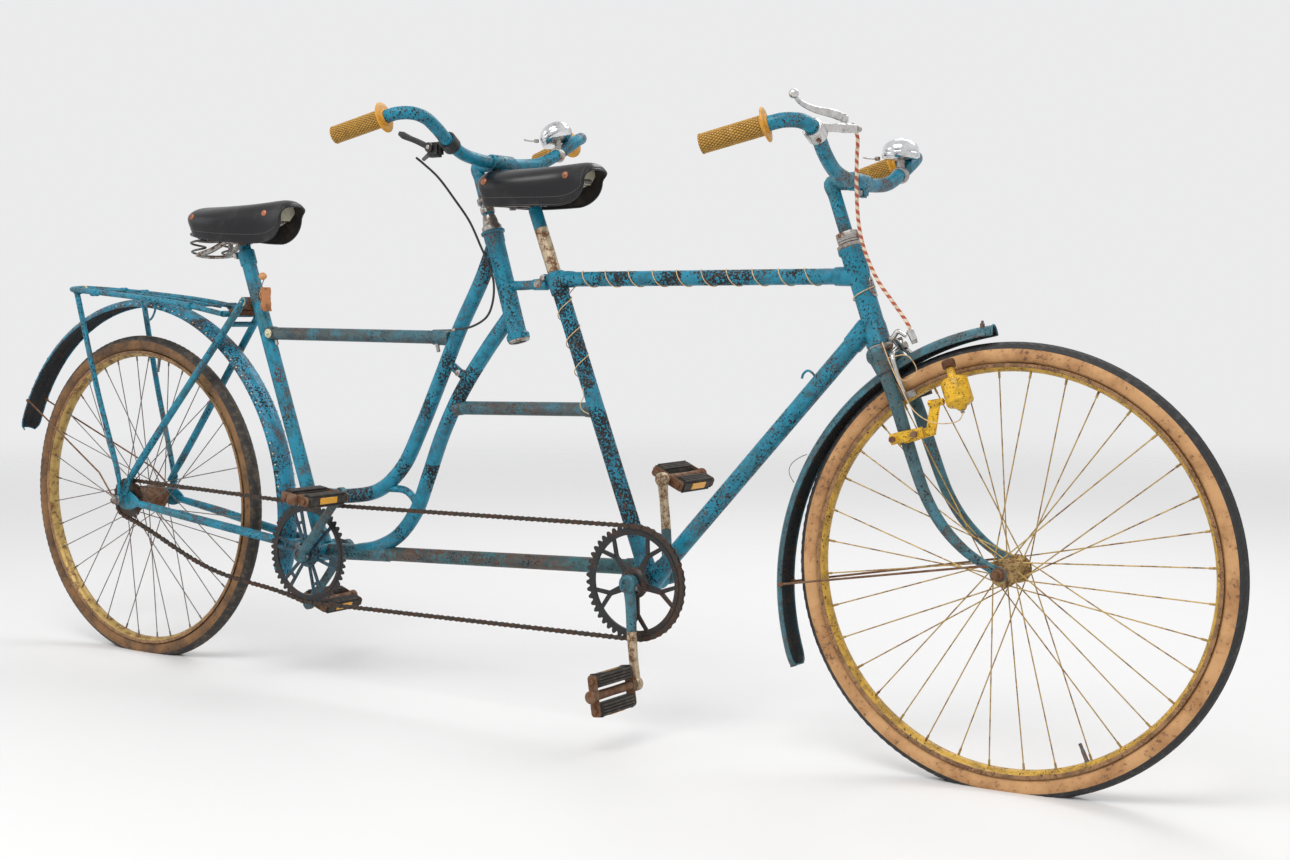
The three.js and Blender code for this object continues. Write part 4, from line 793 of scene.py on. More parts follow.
shape = Shape()
shape.add(rod((0, -90, AXLE), (0, 90, AXLE), 4.6, edge=0.8, sides=28))
for k in range(13):
    for side in (-1, 1):
        y = side * (76.5 + k)
        shape.add(lathe([(4.4, 0), (5.0, 0.25), (4.4, 0.5), (4.4, 0)], (0, y, AXLE), (0, y + side, AXLE), 24))
for side in (-1, 1):
    shape.add(hexagon((0, side * 78.2, AXLE), (0, side * 86, AXLE), 15))
    shape.add(rod((0, side * 76.6, AXLE), (0, side * 78.2, AXLE), 10, edge=0.4))
    shape.add(ball((0, side * 84, AXLE), 6.6))
show("rear_axle", shape, [steel], ROW)

# ---------------------------------------------------------------- rack
RACK = 66
shape = Shape()


def rail(side):
    return [(296, side * 45, 736), (215, side * 58, 752), (100, side * RACK, 767), (-50, side * RACK, 781),
            (-150, side * (RACK - 6), 789)]


outer = curve(rail(-1) + [(-182, 0, 793)] + rail(1)[::-1], 150)
shape.add(tube(outer, 6.5, 26, flat=0.85))
for y in (-22, 22):
    shape.add(bent([(218, y, 751), (100, y, 766), (-50, y, 781), (-178, y, 792)], 3, 40, 18))
for x, z in ((210, 752.5), (-84, 785.4), (60, 770)):
    shape.add(slab((x - 8, -RACK + 6, z - 1.2), (x + 8, RACK - 6, z + 1.4), 1.1))
for side in (-1, 1):
    for x, z in ((212, 752), (-70, 782), (-132, 787)):
        shape.add(rod((x - 10, side * (RACK - (6 if x > 200 or x < -100 else 0)), z),
                      (x + 10, side * (RACK - (6 if x > 200 or x < -100 else 0)), z), 8, edge=1.4, sides=28))
shape.add(bent([(68, -56, 769), (74, -56, 742), (90, -56, 724), (106, -56, 740), (112, -58, 766)], 2.2, 40, 14))
shape.add(rod((296, -45, 736), (296, 45, 736), 6.5, sides=26))
shape.add(ball((-183, -6, 792.5), 9, 0.8), 2)
shape.add(slab((292, -30, 733), (322, 30, 745), 3), 1)
for side, x, z in ((-1, -132, 786), (1, -75, 782)):
    leg = curve([(x, side * (RACK - 2), z), (x / 2, side * 69, z / 2 + 188), (6, side * 73, 380),
                 (3, side * 73, 358)], 30)
    shape.add(tube(leg, taper(30, [0, 26, 29], [6, 5.6, 3.5]), 24))
    shape.add(rod((0, side * 70.2, AXLE), (0, side * 75.8, AXLE), 11, edge=0.8))
show("rear_rack", shape, [blue_rusty, rust_steel, cream], ROW)

# ---------------------------------------------------------------- mudguards
HALF = 25
GUARD_EDGE = -9  # how far the blade's edge lies inside its radius
GUARD = [(-HALF, GUARD_EDGE), (-HALF + 3, -3.4), (-HALF + 8, 1.4), (-10, 5), (0, 6.3), (10, 5), (HALF - 8, 1.4),
         (HALF - 3, -3.4), (HALF, GUARD_EDGE)]
OUTSIDE = [(y, r) for y, r in curve([(y, 0, r) for y, r in GUARD], 19)[:, [0, 2]]]


def guard(shape, centre, radius, start, end):
    """A mudguard's blade: a rounded section with rolled edges, painted outside and dark inside."""
    steps, tip_length, tip_width = 150, 26, 0.55

    def along(k):
        """The angle of station k, and how much narrower the blade is there."""
        from_end = min(k, steps - k) / steps * abs(math.radians(end - start)) * radius
        rounding = math.sqrt(max(0.0, 1 - (1 - min(1.0, from_end / tip_length)) ** 2))
        return math.radians(start + (end - start) * k / steps), rounding * (1 - tip_width) + tip_width

    for sink, mat in ((0.0, 0), (1.1, 1)):
        section = [(y * (1 - sink / 40), r - sink) for y, r in OUTSIDE]
        rows = []
        for k in range(steps + 1):
            a, narrow = along(k)
            for y, r in section:
                rows.append((centre[0] + (radius + r) * math.cos(a), y * narrow,
                             centre[1] + (radius + r) * math.sin(a)))
        faces, _ = grid_faces(steps + 1, len(section), close_sides=False)
        shape.add((rows, faces, None), mat)
    for side in (-1, 1):
        edge = []
        for k in range(steps + 1):
            a, narrow = along(k)
            edge.append((centre[0] + (radius + GUARD_EDGE) * math.cos(a), side * (HALF - 0.6) * narrow,
                         centre[1] + (radius + GUARD_EDGE) * math.sin(a)))
        shape.add(tube(edge, 1.5, 10))
    for k in (0, steps):
        a = math.radians(start + (end - start) * k / steps)
        lip = [(centre[0] + (radius + r) * math.cos(a), y * tip_width, centre[1] + (radius + r) * math.sin(a)) for y,
               r in OUTSIDE]
        shape.add(tube(lip, 1.4, 10))


def on_circle(centre, radius, degrees, y=0.0):
    a = math.radians(degrees)
    return np.array((centre[0] + radius * math.cos(a), y, centre[1] + radius * math.sin(a)))


REAR_GUARD, REAR_GUARD_RADIUS = (5, 333), 429
shape = Shape()
guard(shape, REAR_GUARD, REAR_GUARD_RADIUS, -16, 160)
for side in (-1, 1):
    for degrees in np.arange(8, 152, 3.0):
        eye = on_circle(REAR_GUARD, REAR_GUARD_RADIUS - 4.4, degrees, side * (HALF - 2.0))
        shape.add(rod(eye, eye + (0, side * 1.0, 0) + (on_circle((0, 0), 1.0, degrees) * 0.7), 1.7, edge=0.3,
                      sides=12), 2)
    start = on_circle(REAR_GUARD, REAR_GUARD_RADIUS - 8, 150, side * (HALF - 1.2))
    shape.add(tube([start, (-60, side * 72, 400), (-12, side * 80, AXLE + 12), (0, side * 80, AXLE + 8)], 1.8, 14), 3)
    shape.add(rod(start + (0, -side * 2, 0), start + (0, side * 4, 0), 4, sides=18), 3)
show("rear_mudguard", shape, [guard_blue, guard_inside, cream, rust_steel], ROW)

FRONT_GUARD, FRONT_GUARD_RADIUS = (1980, 305), 410
shape = Shape()
guard(shape, FRONT_GUARD, FRONT_GUARD_RADIUS, 99, 200)
for side in (-1, 1):
    start = on_circle(FRONT_GUARD, FRONT_GUARD_RADIUS - 8, 181, side * (HALF - 1.2))
    shape.add(tube([start, (WHEELBASE - 30, side * 66, AXLE + 11), (WHEELBASE - 10, side * 70, AXLE + 12)], 1.8, 14), 2)
    shape.add(rod(start + (0, -side * 2, 0), start + (0, side * 4, 0), 4, sides=18), 2)
tip = on_circle(FRONT_GUARD, FRONT_GUARD_RADIUS + 6, 101, -9)
shape.add(rod(tip - (0, 0, 3), tip + (0, 0, 5), 3.6, sides=18), 3)
shape.add(rod(tip + (0, 0, 5), tip + (0, 0, 9), 2.2, sides=14), 3)
loop = [on_circle(FRONT_GUARD, FRONT_GUARD_RADIUS + 9 + 16 * math.sin(math.pi * t), 158 - 7 * t,
                  -8 - 7 * math.sin(2 * math.pi * t))
        for t in np.linspace(0, 1, 12)]
shape.add(bent(loop, 0.6, 60, 8), 3)
show("front_mudguard", shape, [teal_dull, guard_inside, rust_steel, dark_steel], STEER)

# ---------------------------------------------------------------- seats


def seat_post(node, top, bracket, height, looks, split):
    axis = seat_axis(top, bracket)
    low = np.array(flat(top)) - axis * POST_INSERTED
    high = np.array(flat(top)) + axis * ((height - top[1]) / axis[2])
    shape = Shape()
    length = float(np.linalg.norm(high - low))
    border = POST_INSERTED + (length - POST_INSERTED) * split
    shape.add(tube([low, low + axis * border], POST_RADIUS, 44))
    shape.add(lathe([(POST_RADIUS, border), (POST_RADIUS, length - 4), (11.4, length), (0, length)], low, high, 44), 1)
    show(node, shape, looks, ROW)


def saddle_frame(node, saddle, springs, top, bracket):
    """Clamp, rails, coil springs and back strut under a saddle."""
    x, z = saddle
    axis = seat_axis(top, bracket)
    foot = np.array((x + 1, 0, z - 6))
    tall = springs > 20
    strut = springs if tall else 0
    shape = Shape()
    shape.add(lathe([(12.4, -5), (16, -5), (16.6, -3), (16.6, 8), (14, 12), (0, 12)], foot, foot + axis, 40))
    shape.add(rod((x, -25, z), (x, 25, z), 8.6, edge=1.2))
    for side in (-1, 1):
        shape.add(hexagon((x, side * 25, z), (x, side * 31, z), 13))
        shape.add(rod((x, side * 22, z), (x, side * 25, z), 12.5, edge=1))
        for drop in (0, 7):
            shape.add(bent([(x - 86, side * 40, z - 2 - drop), (x - 50, side * 30, z - 4 - drop),
                            (x, side * 19, z + 2 - drop / 2),
                            (x + 70, side * 14, z + 12), (x + 112, side * 9,
                                                          z + 26)], 3.1, 44, 16), 0 if drop == 0 else 1)
        at = np.array((x - 86, side * 40, 0))
        shape.add(spring(at + (0, 0, z - springs), at + (0, 0, z + 24), 15 if tall else 10, 2.2,
                         3.5 if tall else 2.5), 1)
        shape.add(rod(at + (0, 0, z - springs - 3), at + (0, 0, z - springs + 4), 6, sides=20))
        shape.add(rod(at + (0, 0, z + 20), at + (0, 0, z + 27), 8, sides=20))
    shape.add(rod((x + 108, -13, z + 26), (x + 108, 13, z + 26), 4, sides=20), 1)
    back = 92 if tall else 85
    shape.add(bent([(x - 86, -42, z - strut), (x - back, -20, z - strut - 2), (x - back, 20, z - strut - 2),
                    (x - 86, 42, z - strut)], 3.6, 30, 16))
    shape.add(slab((x - 84, -5, z - 12), (x - 8, 5, z - 7), 1.5))
    if tall:
        for side in (-1, 1):
            shape.add(bent([(x - 88, side * 36, z - springs + 1), (x - 60, side * 31, z - springs + 9),
                            (x - 30, side * 23, z - 14), (x - 3, side * 20, z - 3)], 5.6, 30, 16))
            shape.add(rod((x - 4, side * 17, z - 2), (x - 4, side * 25, z - 2), 15, edge=1.5))
        shape.add(hexagon((x - 36, 0, z - 32), (x - 36, 0, z - 8), 9))
    show(node, shape, [steel, dark_steel], ROW)


def saddle_cover(node, saddle, back, front, half, skirt, rise, tilt, lift, thick=3.2):
    """A moulded leather cover: domed over the seat, rolled down into skirts and left open at the nose."""
    x0, z0 = saddle
    along, across = 90, 64

    def ends(s):
        return math.sqrt(max(0.0, 1 - max(0.0, (0.16 - s) / 0.16) ** 2))

    def width(s):
        narrow = 0.5 - 0.5 * math.cos(math.pi * min(1, max(0, (s - 0.22) / 0.70)))
        return half * (1 - 0.56 * narrow) * (0.60 + 0.40 * ends(s))

    def top(s):
        dip = 2.5 * math.sin(math.pi * min(1, max(0, (s - 0.1) / 0.75)))
        nose = 1 - math.sqrt(max(0.0, 1 - max(0.0, (s - 0.90) / 0.10) ** 2))
        return z0 + rise - dip - 5 + tilt * s - 22 * (1 - ends(s)) - 12 * nose

    def hem(s):
        corner = 1 - math.sqrt(max(0.0, 1 - max(0.0, (s - 0.70) / 0.30) ** 2))
        return z0 + 15 - skirt + lift * (1 - s) ** 2.5 + (rise + skirt - 46) * corner

    def point(s, t, inset):
        """t runs from -1, the right hem, over the top to 1, the left hem."""
        w, high, low = width(s) - inset, top(s) - inset, hem(s)
        bend = abs(t) ** 0.92 * math.pi / 2
        y = math.copysign(w * math.sin(bend) ** 0.78, t)
        z = low + (high - low) * max(0.0, math.cos(bend)) ** 0.62
        y *= 1 - 0.15 * (max(0, abs(t) - 0.55) / 0.45) ** 1.6
        x = x0 - back + (back + front) * s
        x += 24 * (1 - s) ** 4 * abs(t) ** 1.5
        x -= 14 * max(0.0, (s - 0.6) / 0.4) ** 2 * abs(t) ** 2
        return x, y, z

    stations = 0.5 - 0.5 * np.cos(np.pi * np.linspace(0, 1, along))
    rows = [(s, t) for s in stations for t in np.linspace(-1, 1, across)]
    shape = Shape()
    outer = [point(s, t, 0) for s, t in rows]
    inner = [point(s, t, thick) for s, t in rows]
    faces, _ = grid_faces(along, across, close_sides=False)
    shape.add((outer, faces, None))
    shape.add((inner, faces, None), 1)
    n, m = along, across
    rim = [i * m for i in range(n)] + [(n - 1) * m + j for j in range(1, m)] + [i * m + m - 1 for i in range(n - 2,
        -1, -1)]
    rim += [j for j in range(m - 2, 0, -1)]
    edge_verts = [outer[i] for i in rim] + [inner[i] for i in rim]
    k = len(rim)
    shape.add((edge_verts, [(i, (i + 1) % k, k + (i + 1) % k, k + i) for i in range(k)], None))
    edge = even([np.array(outer[i]) * 0.5 + np.array(inner[i]) * 0.5 for i in rim + rim[:1]], 300)
    shape.add(tube(edge[:-1], thick * 0.62, 10, closed=True))
    tail = [point(0.0, t, 1.0) for t in np.linspace(-1, 1, 40)]
    verts = [p for p in tail] + [(p[0] + 3, p[1] * 0.97, p[2] - 1) for p in tail]
    shape.add((verts, [tuple(range(40)), tuple(range(40, 80))[::-1]] + [(i, i + 1, 41 + i, 40 + i) for i in range(39)]
               + [(39, 0, 40, 79)], None))
    for side in (-1, 1):
        for s, t in ((0.14, 0.66), (0.80, 0.60)):
            here = np.array(point(s, side * t, 0))
            normal = np.cross(np.array(point(s + 0.01, side * t, 0)) - here,
                              np.array(point(s, side * (t + 0.01), 0)) - here)
            normal *= side / np.linalg.norm(normal)
            normal = normal if normal[1] * side > 0 else -normal
            shape.add(lathe([(0, -1.5), (6.4, -1.5), (6.2, 0.8), (4.6, 2.0), (0, 2.4)], here, here + normal, 24), 2)
        seam = [np.array(point(s, side * 0.95, -0.5)) for s in np.linspace(0.04, 0.965, 90)]
        seam += [np.array(point(0.965, side * t, -0.5)) for t in np.linspace(0.93, 0.3, 34)]
        for a, b in zip(seam[0::2], seam[1::2]):
            middle = (a + b) / 2
            shape.add(tube([a + (middle - a) * 0.2, b + (middle - b) * 0.2], 0.7, 8), 3)
    nose = [point(0.90, t, thick + 1) for t in np.linspace(-0.6, 0.6, 24)]
    drop = [(nose[-1][0], nose[-1][1] * 0.45, nose[-1][2] - 16), (nose[0][0], nose[0][1] * 0.45, nose[0][2] - 16)]
    front_loop = nose + drop
    rear_loop = [(p[0] - 3, p[1], p[2]) for p in front_loop]
    k = len(front_loop)
    shape.add((front_loop + rear_loop, [tuple(range(k)), tuple(range(k, 2 * k))[::-1]]
               + [(i, (i + 1) % k, k + (i + 1) % k, k + i) for i in range(k)], None), 4)
    made = show(node, shape, [leather, leather_inside, copper, thread_grey, pale_plate], ROW, 50)


seat_post("front_seat_post", FRONT_SEAT_TOP, FRONT_BRACKET, FRONT_SADDLE[1] - 16, [post_bare, blue_rusty], 0.68)
seat_post("rear_seat_post", REAR_SEAT_TOP, REAR_BRACKET, REAR_SADDLE[1] - 12, [blue_rusty, rust_steel], 0.55)
saddle_frame("front_saddle_frame", FRONT_SADDLE, 12, FRONT_SEAT_TOP, FRONT_BRACKET)
saddle_frame("rear_saddle_frame", REAR_SADDLE, 38, REAR_SEAT_TOP, REAR_BRACKET)
saddle_cover("front_saddle_cover", FRONT_SADDLE, 106, 136, 78, 30, 58, 6, 4)
saddle_cover("rear_saddle_cover", REAR_SADDLE, 114, 150, 80, 32, 64, 9, 22)

# ---------------------------------------------------------------- handlebars
BAR_SIDE = [(0, 0, 0), (2, 60, 2), (6, 112, 9), (10, 158, 28), (14, 192, 47), (14, 218, 60), (6, 240, 66),
            (-12, 255, 66),
            (-30, 262, 62)]
GRIP_START, GRIP_END = np.array((-32.0, 263, 61)), np.array((-132.0, 284, 34))


def mirrored(p, side):
    return np.array((p[0], p[1] * side, p[2]), float)


def handlebar(shape):
    tail = GRIP_START + (GRIP_END - GRIP_START) * 0.93
    half = BAR_SIDE + [tuple(tail)]
    route = [mirrored(p, -1) for p in half[:0:-1]] + [np.array(p, float) for p in half]
    shape.add(bent(route, 11.2, 190, 36))
    shape.add(lathe([(0, 0), (13, 0), (14.5, 3), (14.5, 59), (13, 62), (0, 62)], (2, -31, 0.5), (2, 31, 0.5), 44))


def stem(shape, foot, elbow, clamp, radius):
    """Quill up from the headset, then forward to the clamp, with its expander bolt and nuts."""
    shape.add(tube([foot, elbow], radius, 40), 1)
    lead = curve([elbow - (elbow - foot) * 0.12, elbow - (elbow - foot) * 0.02, elbow + (clamp - elbow) * 0.5, clamp],
                 24)
    shape.add(tube(lead, taper(24, [0, 8, 23], [radius + 0.3, 12.4, 12.4]), 40))
    up = (elbow - foot) / np.linalg.norm(elbow - foot)
    shape.add(hexagon(elbow, elbow + up * 7, 13), 2)
    pinch = clamp + (8, 0, -15)
    shape.add(slab(pinch - (7, 12, 8), pinch + (7, 12, 6), 3))
    shape.add(rod(pinch - (0, 16, 2), pinch + (0, 16, -2), 3.6, sides=20), 2)
    shape.add(hexagon(pinch - (0, 19, 2), pinch - (0, 13, 2), 11), 2)


shape = Shape()
handlebar(shape)
REAR_CLAMP = np.array((975.0, 0, 1004))
away = -REAR_CLAMP
stem(shape, at_second(-60) + away, at_second(124) + away, np.zeros(3), 11)
shape.add(lathe([(11, 0.3), (18, 0.3), (18.4, 2), (18.2, 8), (15, 12), (14, 18), (12, 28), (11, 30), (11, 0.3)],
                at_second(0) + away, at_second(60) + away, 44), 2)
shape.add(lathe([(11.1, 34), (13.6, 34), (14.2, 36), (14.2, 44), (13.6, 46), (11.1, 46), (11.1, 34)],
                at_second(0) + away, at_second(60) + away, 6), 2)
shape.add(lathe([(11.05, 52), (15, 52), (15, 62), (11.05, 62), (11.05, 52)], at_second(0) + away,
                at_second(60) + away, 36), 2)
shape.add(slab(at_second(57) + away + (12, -6, -6), at_second(57) + away + (26, 6, 6), 2), 2)
show("rear_handlebar", shape, [blue_rusty, blue_rusty, steel], REAR_BAR)

shape = Shape()
handlebar(shape)
CLAMP_FROM = np.array((1690.0, 0, 938))
to_bar = turn(-1, AXIS) @ move(*-CLAMP_FROM)
local = lambda p: np.array(to_bar @ Vector(p))
stem(shape, local(at_head(HEAD_LENGTH - 60)), local(at_head(HEAD_LENGTH + 112)), np.zeros(3), 10.9)
show("front_handlebar", shape, [blue_rusty, blue_rusty, steel], FRONT_BAR)


def grip(node, side, place):
    """A ribbed plastic grip with a flange: its surface is a net of small diamonds."""
    a, b = mirrored(GRIP_START, side), mirrored(GRIP_END, side)
    length = float(np.linalg.norm(b - a))
    rings, sides = 130, 96
    profile = []
    for i in range(rings):
        d = 10 + (length - 10) * i / (rings - 1)
        profile.append((15.2 - 0.4 * i / rings + (0.5 if i > rings - 5 else 0), d))
    verts, faces, uvs = lathe(profile, a, b, sides)
    verts = verts.copy()
    along = (b - a) / length
    for i in range(rings):
        ends = min(1.0, i / 3, (rings - 1 - i) / 4)
        plain = 1.0 if not 58 < i < 64 else 0.0
        for j in range(sides):
            k = i * sides + j
            d = (verts[k] - a) @ along
            out = verts[k] - a - along * d
            r = np.linalg.norm(out)
            u, v = 2 * math.pi * j / sides, d
            net = min(abs(math.sin(10 * u + v * NET_PER_MM)), abs(math.sin(10 * u - v * NET_PER_MM)))
            verts[k] = a + along * d + out / r * (r + ends * plain * (1.5 * min(1, net * 1.8) - 1.2))
    shape = Shape()
    shape.add((verts, faces, uvs))
    shape.add(lathe([(0, length - 4), (14.6, length - 2), (15.3, length), (14, length + 0.6), (6, length + 0.2),
                     (0, length - 0.4)], a, b, 48))
    shape.add(lathe([(11.4, 9), (15.6, 11), (16.4, 8.4), (25, 7.4), (26.2, 6.4), (26.2, 4.6), (25, 3.8), (15, 3.6),
                     (14, 1), (11.4, 0.5),
                     (11.4, 9)], a, b, 64), 1)
    show(node, shape, [amber, amber_flange], place)


grip("front_grip_right", -1, FRONT_BAR)
grip("front_grip_left", 1, FRONT_BAR)
grip("rear_grip_right", -1, REAR_BAR)
grip("rear_grip_left", 1, REAR_BAR)

# ---------------------------------------------------------------- bells, levers and shifter
BELL_AT = np.array((10.0, 160, 58))
BELL_LEVER = np.array((-21.0, 135.5, 54))


def bell(node, tilt, place):
    up = np.array((-math.sin(tilt), 0, math.cos(tilt)))
    foot = BELL_AT - up * 2
    shape = Shape()
    shape.add(lathe([(0, -1), (26.5, -1), (30.2, 1), (31.6, 3.6), (31.4, 7.4), (30.2, 8.6), (29.5, 9.4), (30.2, 10.8),
                     (30.2, 13.6),
                     (29.1, 18), (26.2, 23), (21, 27.4), (14, 30.2), (8.6, 31.2), (6, 31.3), (5, 32.2), (3.4, 33), (0,
                         33.2)],
                    foot, foot + up, 64))
    shape.add(lathe([(0, -3), (9, -3), (14, -1), (0, -0.4)], foot, foot + up, 32), 1)
    clamp = BELL_AT + (0, 0, -30)
    shape.add(rod(clamp + (0, -7, 0), clamp + (0, 7, 0), 13.6, edge=1.2, sides=36), 1)
    shape.add(rod(clamp + (1, 0, 8), foot, 6.5, 6, sides=24), 1)
    show(node, shape, [chrome, steel], place)


def bell_lever(node, place):
    shape = Shape()
    shape.add(rod(BELL_LEVER - (0, 0, 3.2), BELL_LEVER + (0, 0, 3.2), 4.5, sides=24))
    shape.add(tube(curve([BELL_LEVER, BELL_LEVER + (-8, -3, 0), BELL_LEVER + (-16, -4, 1), BELL_LEVER + (-23, -7, 3)],
                         14),
                   taper(14, [0, 9, 12, 13], [3.2, 4.0, 5.2, 4.4]), 20, flat=0.35, up=(0, 1, 0)))
    show(node, shape, [steel], place)


bell("front_bell", 0.0, FRONT_BAR)
bell("rear_bell", 0.6, REAR_BAR)
bell_lever("front_bell_lever", FRONT_BAR)
bell_lever("rear_bell_lever", REAR_BAR)

SHIFTER = np.array((-22.0, -150, 14))
shape = Shape()
shape.add(slab(SHIFTER + (-16, -9, -13), SHIFTER + (14, 9, 13), 4.5, 4))
shape.add(lathe([(12.6, 0), (16, 0), (16, 22), (12.6, 22), (12.6, 0)], (6, -139, 19), (10, -160, 30), 40))
shape.add(rod(SHIFTER + (-2, 9, 0), SHIFTER + (-2, 11, 0), 9, edge=0.8), 1)
shape.add(rod(SHIFTER + (-14, 0, -6), SHIFTER + (-28, -2, -16), 4.2, 3.4, sides=20), 1)
show("shifter_body", shape, [black_plastic, dark_steel], REAR_BAR)
shape = Shape()
hinge = SHIFTER + (-6, -12, 4)
shape.add(rod(hinge - (0, 2.4, 0), hinge + (0, 2.2, 0), 8.4, edge=0.8))
shape.add(tube(curve([hinge, hinge + (-22, -2, 10), hinge + (-44, -5, 19), hinge + (-62, -7, 27)], 22),
               taper(22, [0, 12, 18, 21], [5.5, 5.0, 6.4, 3.6]), 22, flat=0.42, up=(0.35, 0, 0.9)))
shape.add(rod(hinge - (0, 3.6, 0), hinge - (0, 2.2, 0), 4, sides=20), 1)
show("shifter_lever", shape, [black_plastic, steel], REAR_BAR)

# ---------------------------------------------------------------- fork and front axle
BLADE = [(1744, 40, 668), (1758, 41, 640), (1783, 43, 580), (1806, 46, 515), (1832, 48, 452), (1860, 50, 410),
         (1896, 51.5, 376), (1926, 52, 358), (1942, 52, 350)]
shape = Shape()
shape.add(tube([at_head(-20), at_head(HEAD_LENGTH + 22)], 12.6, 40), 1)
shape.add(lathe([(12, -0.4), (20.4, -0.4), (20.6, -5), (19, -8), (16, -12), (12, -12), (12, -0.4)], at_head(0),
                HEAD_TOP, 48), 1)
top = HEAD_LENGTH
shape.add(lathe([(12, top + 0.4), (20.8, top + 0.4), (21.2, top + 2), (21, top + 6), (17.6, top + 8.4), (12, top + 8.4),
                 (12, top + 0.4)], at_head(0), HEAD_TOP, 48), 1)
shape.add(lathe([(12, top + 9), (17.4, top + 9), (17.6, top + 12), (12, top + 12), (12, top + 9)], at_head(0),
                HEAD_TOP, 40), 1)
shape.add(lathe([(12, top + 13), (18.6, top + 13), (19, top + 14), (19, top + 24), (18, top + 26), (12, top + 26),
                 (12, top + 13)],
                at_head(0), HEAD_TOP, 8), 1)
shape.add(lathe([(0, -44), (9, -44), (12.4, -40), (12.6, 40), (9, 44), (0, 44)], at_head(-20),
                at_head(-20) + (0, 1, 0), 36))
shape.add(lathe([(12, -13), (17, -14), (17.5, -30), (13, -34), (12, -34), (12, -13)], at_head(0), HEAD_TOP, 40))
for side in (-1, 1):
    cheek = at_head(-6) + (2, side * 40, 0)
    shape.add(lathe([(0, 0), (10, 1), (13.4, 5), (14, 9), (13, 30), (12.2, 44), (0, 44)], cheek,
                    (1758, side * 41, 640), 36))
    route = curve([(x, side * y, z) for x, y, z in BLADE], 70)
    shape.add(tube(route, taper(70, [0, 20, 55, 69], [10.8, 10.6, 8.4, 7.0]), 32, flat=0.86,
                   up=(0.35, 0, 0.94)))
    end = [(WHEELBASE - 14, AXLE + 14), (WHEELBASE - 4, AXLE + 13), (WHEELBASE + 9, AXLE + 8),
           (WHEELBASE + 12, AXLE - 2),
           (WHEELBASE + 6, AXLE - 12), (WHEELBASE - 8, AXLE - 10), (WHEELBASE - 14, AXLE)]
    low, high = sorted((side * 51.6, side * 56.4))
    shape.add(plate(rounded(end, 0.25), low, high))
show("fork", shape, [teal_dull, steel], STEER)

shape = Shape()
shape.add(rod((WHEELBASE, -76, AXLE), (WHEELBASE, 76, AXLE), 4.4, edge=0.8, sides=28))
for side in (-1, 1):
    shape.add(hexagon((WHEELBASE, side * 59.4, AXLE), (WHEELBASE, side * 67, AXLE), 15))
    shape.add(rod((WHEELBASE, side * 57.2, AXLE), (WHEELBASE, side * 59.4, AXLE), 10.5, edge=0.4))
    for k in range(8):
        y = side * (67.5 + k)
        shape.add(lathe([(4.2, 0), (4.9, 0.25), (4.2, 0.5), (4.2, 0)], (WHEELBASE, y, AXLE),
                        (WHEELBASE, y + side, AXLE), 22))
show("front_axle", shape, [rust_steel], STEER)

# ---------------------------------------------------------------- brake
LEVER_PIVOT = np.array((38.0, -152, 72))
shape = Shape()
shape.add(lathe([(11.8, 0), (15.6, 0), (16, 1), (16, 23), (15.6, 24), (11.8, 24), (11.8, 0)], (15.5, -196, 49),
                (14, -222, 62), 44))
shape.add(tube(curve([(20, -205, 60), (30, -188, 61), (38, -170, 63), (42, -118, 68)], 30),
               taper(30, [0, 8, 16, 29], [7, 6, 7.5, 6.5]), 28, flat=0.6, up=(0, 0, 1)))
shape.add(rod((40, -152, 60), (40, -152, 70), 8, edge=1.2))
shape.add(rod((42, -118, 68), (42, -102, 69), 5.2, 4.6, edge=0.8), 1)
shape.add(rod((24, -210, 42), (22, -210, 38), 4, sides=20), 1)
show("brake_lever_bracket", shape, [alloy, steel], FRONT_BAR)
shape = Shape()
route = curve([(38, -146, 80), (30, -176, 83), (12, -212, 87), (2, -238, 95), (-1, -249, 103)], 46)
shape.add(tube(route, taper(46, [0, 8, 30, 45], [6.4, 7.4, 5.0, 3.6]), 26, flat=0.45, up=(0, 0.2, 1)))
shape.add(ball((-1, -249, 104), 7.4))
shape.add(rod(LEVER_PIVOT + (0, 0, 1), LEVER_PIVOT + (0, 0, 11), 6.2, edge=1))
shape.add(rod(LEVER_PIVOT + (0, 0, 11), LEVER_PIVOT + (0, 0, 13), 3.6, sides=20), 1)
show("brake_lever", shape, [alloy, steel], FRONT_BAR)

BRAKE_PIVOT = at_head(-14) + AHEAD * 21
CABLE_END = (1797, -30, 700)


def on_brake(y, s, out=0.0):
    return BRAKE_PIVOT - AXIS * s + AHEAD * out + (0, y, 0)


